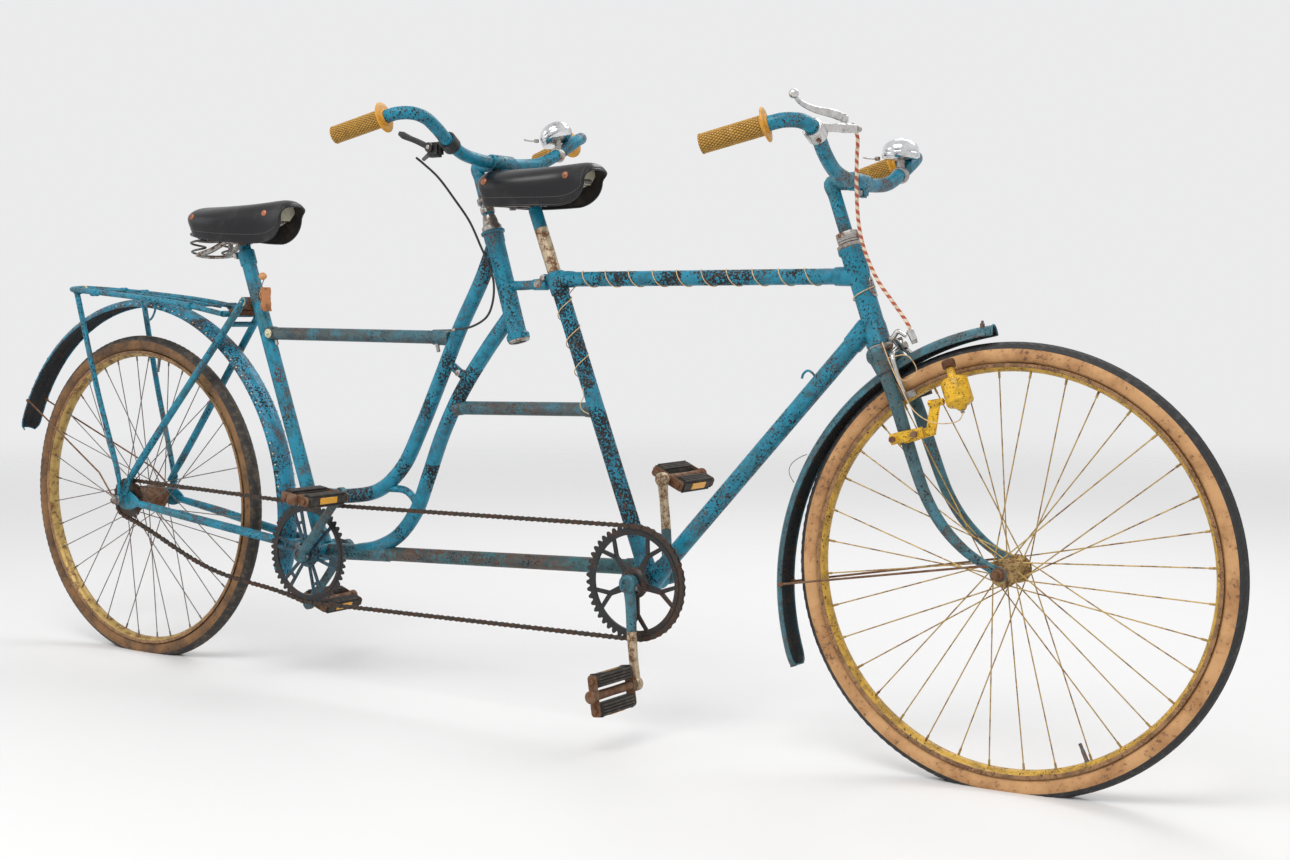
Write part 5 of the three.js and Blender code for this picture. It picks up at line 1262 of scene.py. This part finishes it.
for node, side, out, top_y in (("brake_arm_right", -1, 4, 22), ("brake_arm_left", 1, 12, -26)):
    shape = Shape()
    route = curve([on_brake(top_y, -14, out), on_brake(0, 0, out), on_brake(side * 31, 12, out),
                   on_brake(side * 33, 44, out),
                   on_brake(side * 26, 76, out)], 54)
    shape.add(tube(route, taper(54, [0, 10, 40, 53], [4.4, 5.4, 4.6, 4.0]), 24, flat=0.62,
                   up=tuple(AHEAD)))
    shape.add(bar(on_brake(side * 20, 77, out - 17), on_brake(side * 20, 77, out + 17), 8, 9, (0, 1, 0), 1.6), 2)
    shape.add(bar(on_brake(side * 24.4, 77, out - 18), on_brake(side * 24.4, 77, out + 18), 2.4, 10.5, (0, 1, 0),
                  0.6), 1)
    shape.add(hexagon(on_brake(side * 25, 76, out), on_brake(side * 32, 76, out), 9), 1)
    if side > 0:
        shape.add(rod(on_brake(0, 0, -9), on_brake(0, 0, out + 8), 3.4, sides=24), 1)
        shape.add(hexagon(on_brake(0, 0, out + 3), on_brake(0, 0, out + 10), 11), 1)
        tip = np.array(CABLE_END)
        shape.add(bent([on_brake(top_y, -14, out), on_brake(top_y - 5, -20, out + 14), tip + (-9, -2, -1)], 4.2, 26,
                       18))
        shape.add(rod(tip + (-4, -2, 8), tip + (3, 1, -9), 5.6, edge=1.2, sides=28))
        shape.add(hexagon(tip + (2, 1, -8), tip + (4, 1.6, -13), 9), 1)
    shape.add(rod(on_brake(top_y, -14, out - 5), on_brake(top_y, -14, out + 5), 4.4, sides=24), 1)
    show(node, shape, [alloy, steel, tread_rubber], STEER)

BRAKE_CABLE = [(1725, -104, 1012), (1728, -95, 998), (1724, -86, 964), (1720, -75, 914), (1720, -63, 865),
               (1726, -55, 830),
               (1745, -47, 784), (1768, -40, 750), (1790, -33, 717), CABLE_END]
ends = []
route = curve(BRAKE_CABLE, 260)
for end, step in ((route[0], route[0] - route[1]), (route[-1], route[-1] - route[-2])):
    step = step / np.linalg.norm(step)
    ends.append(rod(end - step * 6, end + step * 5, 3.8, 3.4, sides=24))
show_cord("brake_cable", route, 2.9, cable_braid, STEER, ends, 18)

# ---------------------------------------------------------------- dynamo
DYNAMO_TOP, DYNAMO_FOOT = np.array((1858.0, -40, 661)), np.array((1890.0, -59, 588))
DYNAMO_LONG = float(np.linalg.norm(DYNAMO_TOP - DYNAMO_FOOT))
shape = Shape()
shape.add(tube([(1796, -53, 541), (1846, -60, 556)], 7.4, 28, flat=0.55, up=(0, 0, 1)))
shape.add(tube(curve([(1776, -57, 539), (1790, -60, 543), (1812, -62, 548), (1830, -62, 553)], 16), 8.6, 24, flat=0.5,
               up=(0, 0, 1)))
shape.add(tube(curve([(1778, -36, 536), (1790, -34, 541), (1806, -38, 545), (1824, -48, 551)], 16), 8.0, 24, flat=0.5,
               up=(0, 0, 1)))
for at in ((1782, -60, 540), (1818, -62, 549)):
    shape.add(rod((at[0], at[1] + 8, at[2]), (at[0], at[1] - 7, at[2]), 4.6, sides=20))
    shape.add(hexagon((at[0], at[1] - 5, at[2]), (at[0], at[1] - 11, at[2]), 9), 1)
shape.add(bar((1842, -63, 550), (1850, -66, 601), 16, 4, (1, 0, 0), 1.2))
shape.add(rod((1838, -64, 596), (1862, -64, 600), 5.4, edge=0.8, sides=28))
show("dynamo_bracket", shape, [yellow, rust_steel], STEER)
shape = Shape()
n = DYNAMO_LONG
shape.add(lathe([(0, 0), (5, 0), (6.4, 1.5), (8.5, 5), (14, 8.4), (19.4, 10.6), (20.8, 13), (20.9, 15), (20.2, 16.2),
                 (20.8, 17.4), (20.9, 46),
                 (20, 48.6), (17, 50.6), (10.5, 52.6), (7.4, 54), (6.6, 58), (6.2, n - 14), (5, n - 12), (0, n - 12)],
                DYNAMO_FOOT, DYNAMO_TOP, 56))
shape.add(rod(DYNAMO_FOOT + (0, 0, -5), DYNAMO_FOOT + (0, 0, 1), 3, sides=18), 1)
shape.add(slab(DYNAMO_FOOT + (-26, -9, 10), DYNAMO_FOOT + (-14, 1, 30), 2))
show("dynamo_body", shape, [yellow, steel], STEER)
shape = Shape()
profile = [(0, n - 11.5), (9.4, n - 11.5), (10.2, n - 10.5)]
profile += [(10.4 if k % 2 else 9.5, n - 10 + k * 1.1) for k in range(9)]
profile += [(9.6, n), (6.4, n + 1), (0, n + 1)]
shape.add(lathe(profile, DYNAMO_FOOT, DYNAMO_TOP, 40))
show("dynamo_roller", shape, [rust_steel], STEER)

# ---------------------------------------------------------------- wheels
RIM, SPOKES = 302.0, 36
TYRE_R, SECTION = 345.0, 17.0
GROUND = -TYRE_R + 13.0
TREAD_ANGLE, TREAD_EDGE_ANGLE = 60, 64  # degrees either side of the crown


def tyre(node, place, looks, tread_depth):
    """Round in section with two rows of tread blocks, flattened and bulged where it stands on the ground."""
    steps, middle = 576, TYRE_R - SECTION
    angles = [math.radians(a) for a in (-150, -128, -106, -86, -72, -64, -55, -46, -38, -30, -22, -14, -8, -2, 2, 8,
                                        14, 22, 30, 38, 46, 55, 64,
                                        72, 86, 106, 128, 150)]
    sides = len(angles)
    verts = []
    for i in range(steps):
        at = 2 * math.pi * i / steps
        for k, a in enumerate(angles):
            degrees = math.degrees(a)
            r, y = middle + SECTION * 0.985 * math.cos(a), SECTION * 0.985 * math.sin(a)
            if abs(degrees) < TREAD_ANGLE:
                cell = int((abs(degrees) + 2) // 16)
                raised = (i + 2 * cell) % 4 < 2 and abs(degrees) > 5 or 3 > abs(degrees)
                lift = tread_depth * (1.0 if raised else 0.0) + 0.25
                r, y = middle + (SECTION * 0.985 + lift) * math.cos(a), (SECTION * 0.985 + lift) * math.sin(a)
            x, z = r * math.cos(at), r * math.sin(at)
            sag = max(0.0, (GROUND + 14 - z)) / 27
            if sag > 0:
                y *= 1 + 0.42 * min(1, sag) ** 1.5 * (1 - abs(abs(degrees) - 80) / 140)
                z = max(z, GROUND + (0.6 if z < GROUND else 0.0)) if abs(degrees) < TREAD_ANGLE else z + sag * 1.5
            verts.append((x, y, z))
    faces, uvs, mats = [], [], []
    for i in range(steps):
        n = (i + 1) % steps
        for k in range(sides - 1):
            faces.append((i * sides + k, i * sides + k + 1, n * sides + k + 1, n * sides + k))
            u0, u1 = i / steps, (i + 1) / steps
            v0, v1 = angles[k] * SECTION / 1000, angles[k + 1] * SECTION / 1000
            uvs += [(u0, v0), (u0, v1), (u1, v1), (u1, v0)]
            mats.append(1 if abs(math.degrees(angles[k] * 0.5 + angles[k + 1] * 0.5)) < TREAD_EDGE_ANGLE else 0)
        faces.append((i * sides + sides - 1, i * sides, n * sides, n * sides + sides - 1))
        uvs += [(0, 0)] * 4
        mats.append(0)
    shape = Shape()
    shape.add((verts, faces, uvs))
    shape.mats = mats
    show(node, shape, looks, place, 28)


def wheel(node, place, hub, flange, looks, valve):
    """Rim, laced spokes with nipples and elbows, and hub."""
    shape = Shape()
    shape.add(lathe([(RIM + 0.4, -6), (RIM - 0.6, -3), (RIM - 0.8, 0), (RIM - 0.6, 3), (RIM + 0.4, 6),
                     (RIM + 2.2, 9.4), (RIM + 5, 12.6),
                     (RIM + 8.6, 13.9), (RIM + 11.2, 13.6), (RIM + 11.4, 12.6), (RIM + 8.6, 12.0), (RIM + 5.4,
                         8), (RIM + 4, 4), (RIM + 4, -4),
                     (RIM + 5.4, -8), (RIM + 8.6, -12.0), (RIM + 11.4, -12.6), (RIM + 11.2, -13.6), (RIM + 8.6,
                         -13.9), (RIM + 5, -12.6),
                     (RIM + 2.2, -9.4), (RIM + 0.4, -6)], (0, 0, 0), (0, 1, 0), 216))
    for side in (-1, 1):
        shape.add(lathe([(RIM + 5.6, side * 13.0), (RIM + 8.6, side * 14.2), (RIM + 11.6, side * 14.0),
                         (RIM + 11.6, side * 13.2),
                         (RIM + 8.6, side * 13.2), (RIM + 5.6, side * 13.0)], (0, 0, 0), (0, 1, 0), 216), 1)
    shape.add(lathe(hub, (0, 0, 0), (0, 1, 0), 56), 3)
    for i in range(SPOKES):
        side, trailing = (1 if i % 2 else -1), (1 if i % 4 < 2 else -1)
        at = 2 * math.pi * (i + 0.5) / SPOKES
        root = at + trailing * math.radians(60)
        hole = np.array((flange[0] * math.cos(root), side * (flange[1] + 3 * trailing), flange[0] * math.sin(root)))
        tip = np.array(((RIM + 1) * math.cos(at), side * (4 + 1.4 * trailing), (RIM + 1) * math.sin(at)))
        lead = (tip - hole) / np.linalg.norm(tip - hole)
        shape.add(tube([hole, tip], 1.05, 8), 2)
        shape.add(lathe([(0, 0), (1.7, 0), (1.9, 1), (1.9, 12), (0, 12)], tip + lead, tip - lead * 2, 10), 2)
        shape.add(rod(hole - (0, side * trailing * -1.2, 0), hole - (0, side * trailing * 3.4, 0), 2.2, edge=0.5,
                      sides=12), 2)
    a = math.radians(valve)
    out = np.array((math.cos(a), 0, math.sin(a)))
    shape.add(lathe([(0, 0), (4, 0), (4, 4), (3.2, 5), (3.2, 20), (2.6, 21), (2.6, 31), (0, 31)], out * (RIM + 2),
                    (0, 0, 0), 24), 4)
    show(node, shape, looks, place, 40)


HALF_HUB = [(5.7, -44), (8, -44), (9.4, -42), (9.6, -38.4), (14, -37), (20.8, -36.6), (22, -35.4), (22, -33.4),
            (20.6, -32.2), (15, -31), (12, -28), (10.8, -22), (10.4, 0)]
FRONT_HUB = HALF_HUB + [(r, -y) for r, y in HALF_HUB[-2::-1]] + HALF_HUB[:1]
REAR_HUB = [(6.3, -36), (20, -36), (24, -34.4), (31, -34), (32, -33), (32, -29.4), (31, -28.4), (26, -27), (25, -24),
            (24.4, -8), (24.4, 8),
            (25, 24), (26, 27), (31, 28.4), (32, 29.4), (32, 33), (31, 34), (20, 35), (15, 37), (14.4, 50), (12,
                52), (6.3, 52), (6.3, -36)]
tyre("front_tyre", FRONT_WHEEL, [gum, tread_rubber], 1.0)
tyre("rear_tyre", REAR_WHEEL, [old_gum, old_tread], 0.8)
wheel("front_wheel", FRONT_WHEEL, FRONT_HUB, (19, 33.3), [rim_yellow, rim_brown, spoke_gold, hub_brass, dark_steel],
      -66)
wheel("rear_wheel", REAR_WHEEL, REAR_HUB, (29, 31), [spoke_gold, rim_brown, spoke_grey, rust_steel, dark_steel], 80)

# ---------------------------------------------------------------- cranks, rings and chain
RING_TEETH, SPROCKET_TEETH = 48, 20


def pitch_radius(teeth):
    return PITCH / (2 * math.sin(math.pi / teeth))


RING_R, SPROCKET_R = pitch_radius(RING_TEETH), pitch_radius(SPROCKET_TEETH)


def toothed_ring(teeth, radius, inner, half):
    """A chain ring's toothed rim, with eased tooth tips."""
    per = 8
    n = teeth * per
    angles = 2 * np.pi * np.arange(n) / n
    form = np.array([3.6, 3.2, 1.2, -2.4, -3.8, -2.4, 1.2, 3.2])
    outer = radius + np.roll(np.tile(form, teeth), per // 2)
    return band(angles, outer, inner, half)


def arm_bar(a, b, wide_a, wide_b, y, half):
    """A flat spoke of a chain ring between two points given in X and Z, tapering from wide_a to wide_b."""
    a, b = np.array(a), np.array(b)
    across = np.array((-(b - a)[1], (b - a)[0])) / np.linalg.norm(b - a)
    return plate([tuple(a + across * wide_a), tuple(b + across * wide_b), tuple(b - across * wide_b),
                  tuple(a - across * wide_a)],
                 y - half, y + half, 0.5)


def crankset(node, bracket, angle, arms, looks):
    place = ROW @ move(bracket[0], 0, bracket[1])
    shape = Shape()
    on_line = Matrix.Translation((0, CHAIN_Y, 0))
    shape.add(toothed_ring(RING_TEETH, RING_R, RING_R - 9, 1.3), 0, on_line)
    rim = np.linspace(0, 2 * np.pi, 144, endpoint=False)
    shape.add(band(rim, RING_R - 7, RING_R - 15, 2.2), 0, on_line)
    for k in range(arms):
        mid = math.radians(angle) + 2 * math.pi * k / arms
        polar = lambda r, a: (r * math.cos(a), r * math.sin(a))
        if arms == 6:
            for lean in (-0.115, 0.115):
                shape.add(arm_bar(polar(24, mid + lean * 1.5), polar(RING_R - 11, mid + lean), 3.0, 3.4, CHAIN_Y,
                                  2.0), 1)
            shape.add(arm_bar(polar(62, mid - 0.1), polar(62, mid + 0.1), 3, 3, CHAIN_Y, 2.0), 1)
        else:
            shape.add(arm_bar(polar(20, mid), polar(58, mid), 7.0, 4.4, CHAIN_Y, 2.2), 1)
            for lean in (-0.21, 0.21):
                shape.add(arm_bar(polar(54, mid), polar(RING_R - 11, mid + lean), 4.0, 3.4, CHAIN_Y, 2.0), 1)
    shape.add(lathe([(0, -CHAIN_Y + 2 - 47), (24, 0), (27, 3), (27, 7), (22, 10), (20, 14), (0, 14)],
                    (0, CHAIN_Y + 4, 0), (0, -99, 0), 44), 1)
    shape.add(tube([(0, -50, 0), (0, 56, 0)], 8, 32), 2)
    for side in (-1, 1):
        a = math.radians(angle if side < 0 else angle + 180)
        lead = np.array((math.cos(a), 0, math.sin(a)))
        y = side * 62
        start, end = np.array((0, y, 0)) + lead * 4, lead * (CRANK_LENGTH + 2) + (0, y + side * 6, 0)
        route = curve([start, start + lead * 30, (start + end) / 2 + (0, side * 1.5, 0), end], 40)
        wide = taper(40, [0, 6, 30, 36, 39], [11.5, 10.2, 8.6, 9.6, 10.4])
        upper = 18 if node == "front_crankset" else 40
        shape.add(tube(route[:upper + 1], wide[:upper + 1], 28, flat=0.72, up=tuple(np.cross(lead, (0, 1, 0)))), 3)
        if upper < 39:
            shape.add(tube(route[upper:], wide[upper:], 28, flat=0.72, up=tuple(np.cross(lead, (0, 1, 0)))), 4)
        shape.add(lathe([(0, 54), (13, 54), (16, 56.5), (16, 69), (14, 71), (9, 71.6), (8.6, 69.6), (0, 69.6)],
                        (0, 0, 0), (0, side, 0), 44), 3)
        eye = lead * CRANK_LENGTH
        shape.add(rod(eye + (0, side * 61, 0), eye + (0, side * 74, 0), 12.4, edge=2, sides=40), 3 if upper > 39 else 4)
        shape.add(rod(eye + (0, side * 66, 0), eye + (0, side * 190, 0), 4, sides=20), 2)
        pin = np.cross(lead, (0, 1, 0))
        shape.add(rod(-pin * 17 + lead * 7 + (0, y, 0), pin * 17 + lead * 7 + (0, y, 0), 4.2, sides=24), 2)
        shape.add(hexagon(pin * 15 + lead * 7 + (0, y, 0), pin * 20 + lead * 7 + (0, y, 0), 11), 2)
    show(node, shape, looks, place, 36)


crankset("front_crankset", FRONT_BRACKET, -84, 5, [ring_black, ring_black, dark_steel, teal_dull, post_bare])
crankset("rear_crankset", REAR_BRACKET, 48, 6, [ring_black, ring_blue, dark_steel, brace_grey, brace_grey])


def pedal(node, bracket, angle, side, tilt):
    a = math.radians(angle)
    place = (ROW @ move(bracket[0], 0, bracket[1])
             @ move(CRANK_LENGTH * math.cos(a), side * 77, CRANK_LENGTH * math.sin(a)) @ turn(tilt, (0, 1, 0)))
    shape = Shape()
    shape.add(lathe([(5.4, 2), (9.4, 2), (9.8, 4), (8, 8), (7.4, 60), (8, 108), (9.6, 112), (9.8, 118), (10.6, 119),
                     (10.6, 123), (8, 126),
                     (0, 126.4), (0, 126.4)], (0, 0, 0), (0, side, 0), 36), 1)
    for y in (7.5, 111.5):
        end = [(-34, -6), (-30, -9), (30, -9), (34, -6), (34, 6), (30, 9), (-30, 9), (-34, 6)]
        low, high = sorted((side * (y - 1.3), side * (y + 1.3)))
        shape.add(plate(end, low, high, 0.4), 1)
        for x in (-24, 24):
            shape.add(hexagon((x, side * (y + (1 if y > 50 else -1) * 1.2), 0),
                              (x, side * (y + (1 if y > 50 else -1) * 4.6), 0), 9), 1)
    for x in (-24, 24):
        low, high = sorted((side * 9.6, side * 109.6))
        shape.add(slab((x - 11, low, -9.5), (x + 11, high, 9.5), 3, 3))
        for z in (-1, 1):
            for gx in (-7.5, -2.5, 2.5, 7.5):
                shape.add(slab((x + gx - 1.7, low + 5, z * 10.6 - 1.6), (x + gx + 1.7, high - 5, z * 10.6 + 1.6), 0.8,
                               1))
        out = math.copysign(1, x)
        shape.add(slab((x + out * 10.2 - 0.8, low + 28, -6), (x + out * 11.6 + 0.6, high - 28, 6), 0.8, 1), 2)
        for gy in (low + 4, high - 10):
            shape.add(slab((x + out * 9.5 - 1, gy, -7.5), (x + out * 11.4 + 0.4, gy + 6, 7.5), 0.8, 1))
    show(node, shape, [pedal_rubber, rust_steel, reflector], place, 36)


pedal("front_pedal_right", FRONT_BRACKET, -84, -1, 82)
pedal("front_pedal_left", FRONT_BRACKET, 96, 1, 25)
pedal("rear_pedal_right", REAR_BRACKET, 48, -1, 8)
pedal("rear_pedal_left", REAR_BRACKET, 228, 1, 20)

shape = Shape()
on_line = Matrix.Translation((0, CHAIN_Y, 0))
shape.add(toothed_ring(SPROCKET_TEETH, SPROCKET_R, 18, 1.2), 0, on_line)
shape.add(lathe([(6.3, 0), (15, 0), (17, 2), (17, 13), (19, 14.4), (19, 16), (6.3, 16), (6.3, 0)], (0, -55, 0),
                (0, 0, 0), 40))
show("rear_sprocket", shape, [chain_metal], REAR_WHEEL)


def chain_course():
    """The chain's closed line: front ring, over the rear ring, round the sprocket and back under it, slack."""
    stops = [(FRONT_BRACKET, RING_R, None), (REAR_BRACKET, RING_R, "rests"), ((0, AXLE), SPROCKET_R, 24),
             (REAR_BRACKET, RING_R, None)]
    leaving = []
    for i, ((ax, az), r, _) in enumerate(stops):
        (bx, bz), s, _ = stops[(i + 1) % 4]
        leaving.append(math.atan2(bz - az, bx - ax) - math.acos((r - s) / math.hypot(bx - ax, bz - az)))
    on = lambda stop, a: np.array((stop[0][0] + stop[1] * math.cos(a), CHAIN_Y, stop[0][1] + stop[1] * math.sin(a)))
    line = []
    for i, stop in enumerate(stops):
        if stop[2] == "rests":
            line.append(on(stop, math.pi / 2))
            continue
        start = leaving[i - 1]
        span = (leaving[i] - start + 4 * math.pi) % (2 * math.pi)
        line += [on(stop, start + span * k / 48) for k in range(49)]
        if stop[2]:
            end = on(stops[(i + 1) % 4], leaving[i])
            line += [on(stop, leaving[i]) * (1 - t) + end * t - np.array((0, 0, stop[2] * math.sin(math.pi * t) ** 2))
                     for t in np.linspace(0, 1, 40)[1:-1]]
    return line + line[:1]


def chain():
    line = np.array(chain_course())
    reach = float(np.linalg.norm(np.diff(line, axis=0), axis=1).sum())
    links = 2 * round(reach / PITCH / 2)
    pins = even(line, links + 1)[:-1]
    shape = Shape()
    turns = np.linspace(0, np.pi, 6)
    for k in range(links):
        a, b = pins[k], pins[(k + 1) % links]
        lead = (b - a) / np.linalg.norm(b - a)
        up = np.cross(lead, (0, 1, 0))
        wide, y = (4.2, 3.1) if k % 2 else (3.9, 2.1)
        outline = [b + (lead * math.sin(t) + up * math.cos(t)) * wide for t in turns]
        outline.append((a + b) / 2 - up * wide * 0.68)
        outline += [a - (lead * math.sin(t) + up * math.cos(t)) * wide for t in turns]
        outline.append((a + b) / 2 + up * wide * 0.68)
        n = len(outline)
        for side in (-1, 1):
            near = [p + (0, side * (y - 0.45), 0) for p in outline]
            far = [p + (0, side * (y + 0.45), 0) for p in outline]
            faces = [tuple(range(n)), tuple(range(n, 2 * n))[::-1]] + [(i, (i + 1) % n, n + (i + 1) % n,
                n + i) for i in range(n)]
            shape.add((near + far, faces, None))
        shape.add(tube([a - (0, 4.2, 0), a + (0, 4.2, 0)], 1.7, 8))
        shape.add(tube([a - (0, 1.7, 0), a + (0, 1.7, 0)], 3.6, 12))
    show("chain", shape, [chain_metal], ROW, 32)


chain()

# ---------------------------------------------------------------- cords and the tag
SHIFTER_CABLE = [(926, -170, 1004), (924, -150, 996), (932, -122, 975), (938, -84, 938), (944, -48, 898),
                 (955, -32, 856),
                 (968, -25, 822), (977, -23, 792), (974, -22, 756), (960, -21, 730), (925, -20, 712), (884, -19, 706)]
route = curve(SHIFTER_CABLE, 160)
ends = [rod(route[-1], route[-1] + (-10, 0, -2), 3, 2.6, sides=20),
        tube([route[-1] + (-8, 0, -2), route[-1] + (-26, 0, -5)], 0.8, 10)]
show_cord("shifter_cable", route, 2.1, black_plastic, ROW, ends)


def wound(a, b, radius, turns, start=0.0, per=24):
    """Points of a helix round the line from a to b."""
    a, b = np.array(a, float), np.array(b, float)
    along = (b - a) / np.linalg.norm(b - a)
    side = np.array((0.0, 1, 0))
    up = np.cross(along, side)
    up /= np.linalg.norm(up)
    n = int(turns * per)
    angles = [2 * math.pi * i / per + start for i in range(n + 1)]
    return [a + (b - a) * i / n + radius * (side * math.cos(t) + up * math.sin(t)) for i, t in enumerate(angles)]


route = wound(at_head(74), at_head(96), 19.4, 1) + wound((1634, 0, 792.3), (1146, 0, 794.8), 14.2, 10)[1:]
route += wound((1112, 0, 766), (1166, 0, 618), 16.4, 3)
tail = [route[-1], (1170, -16, 604), (1174, -20, 590), (1168, -22, 576), (1172, -20, 566), (1184, -18, 560)]
show_cord("lighting_wire", list(even(route, 620)) + list(curve(tail, 40))[1:], 0.9, wire_tan, ROW, sides=10)
wire = [(1752, -40, 688), (1768, -56, 664), (1792, -64, 622), (1820, -74, 584), (1856, -82, 568), (1888, -72, 572),
        (1892, -62, 584)]
shape = Shape()
shape.add(bent(wire, 0.9, 90, 10))
shape.add(bent([(1768, -56, 664), (1800, -58, 668), (1812, -48, 644), (1790, -46, 630), (1782, -56, 646)], 0.8, 60,
               8))
show("dynamo_wire", shape, [wire_tan], STEER)

shape = Shape()
layers = (((381, 744), (390, 789), -22, 3, 0.0), ((386, 741), (394, 784), -25, -3, 5.0),
          ((378, 748), (386, 782), -18, 6, -4.0))
for k, (low, high, y0, y1, skew) in enumerate(layers):
    rows = []
    for t in np.linspace(0, 1, 12):
        z = low[1] + (high[1] - low[1]) * t
        x = low[0] + 2.2 * math.sin(3 * t + k) + skew * (1 - t) * 0.4
        edge = 1.4 * math.sin(9 * t + 2 * k)
        rows.append([(x, y0 + edge, z), (x, y1 + edge, z), (x + 1.8, y1 + edge, z), (x + 1.8, y0 + edge, z)])
    verts = [p for row in rows for p in row]
    faces, _ = grid_faces(12, 4)
    faces += [(0, 1, 2, 3), (47, 46, 45, 44)]
    shape.add((verts, faces, None))
shape.add(ball((376, -10, 811), 8.4, 0.9), 1)
shape.add(bent([(374, -10, 812), (366, -12, 800), (372, -14, 792), (386, -10, 786)], 0.9, 24, 10), 2)
shape.add(bent([(378, -8, 806), (366, -4, 790), (362, 0, 776), (372, -6, 786)], 0.8, 24, 10), 2)
show("leather_tag", shape, [tan_leather, bead_tan, thread_grey], ROW)

# ---------------------------------------------------------------- floor, light and camera
FLOOR_RADIUS, FLOOR_FADES_FROM = 9.0, 2.2


def floor():
    """A pale floor, a disc that fades out into the pale surroundings."""
    mesh = bpy.data.meshes.new("floor")
    bm = bmesh.new()
    bmesh.ops.create_circle(bm, cap_ends=True, segments=96, radius=FLOOR_RADIUS)
    bm.to_mesh(mesh)
    bm.free()
    look = Look("pale_studio_floor")
    away = look.tree.nodes.new("ShaderNodeVectorMath")
    away.operation = "LENGTH"
    look.feed(away.inputs[0], look.place)
    look.feed(look.shader.inputs["Alpha"], look.between(away.outputs["Value"], FLOOR_RADIUS - 0.5, FLOOR_FADES_FROM))
    mesh.materials.append(look.finish((0.74, 0.737, 0.735), look.grey(look.noise(3.0), 0.55, 0.65)))
    made = bpy.data.objects.new("floor", mesh)
    bpy.context.scene.collection.objects.link(made)


def area_light(name, at, look_at, size, power, colour=(1, 1, 1)):
    light = bpy.data.lights.new(name, "AREA")
    light.shape = "RECTANGLE"
    light.size, light.size_y = size
    light.energy, light.color = power, colour
    made = bpy.data.objects.new(name, light)
    made.location = at
    made.rotation_euler = (Vector(look_at) - Vector(at)).to_track_quat("-Z", "Y").to_euler()
    bpy.context.scene.collection.objects.link(made)


YAW, PITCH_ANGLE = 0.58967, -0.064225
FOCAL_PIXELS, FRAME_WIDTH, SENSOR = 1696.66, 1290.0, 36.0
CAMERA = (Vector(HUB) - Vector((0, 0, AXLE / 1000))) + Vector((2.90577, -2.41604, 0.72185))
camera = bpy.data.objects.new("camera", bpy.data.cameras.new("camera"))
camera.data.sensor_width = SENSOR
camera.data.lens = FOCAL_PIXELS / FRAME_WIDTH * SENSOR
camera.location = CAMERA
toward = Vector((-math.sin(YAW) * math.cos(PITCH_ANGLE), math.cos(YAW) * math.cos(PITCH_ANGLE), math.sin(PITCH_ANGLE)))
camera.rotation_euler = toward.to_track_quat("-Z", "Y").to_euler()
bpy.context.scene.collection.objects.link(camera)
bpy.context.scene.camera = camera

floor()
area_light("key", (0.6, -2.4, 3.6), (0, 0, 0.4), (2.6, 1.8), 85, (1, 0.985, 0.96))
area_light("fill", (-3.2, -3.0, 2.0), (-0.2, 0, 0.5), (2.4, 2.4), 20, (0.94, 0.97, 1))
area_light("rim", (0.5, 2.6, 3.2), (0, 0, 0.5), (3.0, 1.2), 40)
world = bpy.data.worlds.new("studio")
bpy.context.scene.world = world
world.use_nodes = True
world.node_tree.nodes["Background"].inputs["Color"].default_value = (0.99, 0.99, 1.0, 1)
world.node_tree.nodes["Background"].inputs["Strength"].default_value = 0.84

bpy.context.scene.view_settings.view_transform = "Standard"
bpy.context.view_layer.update()
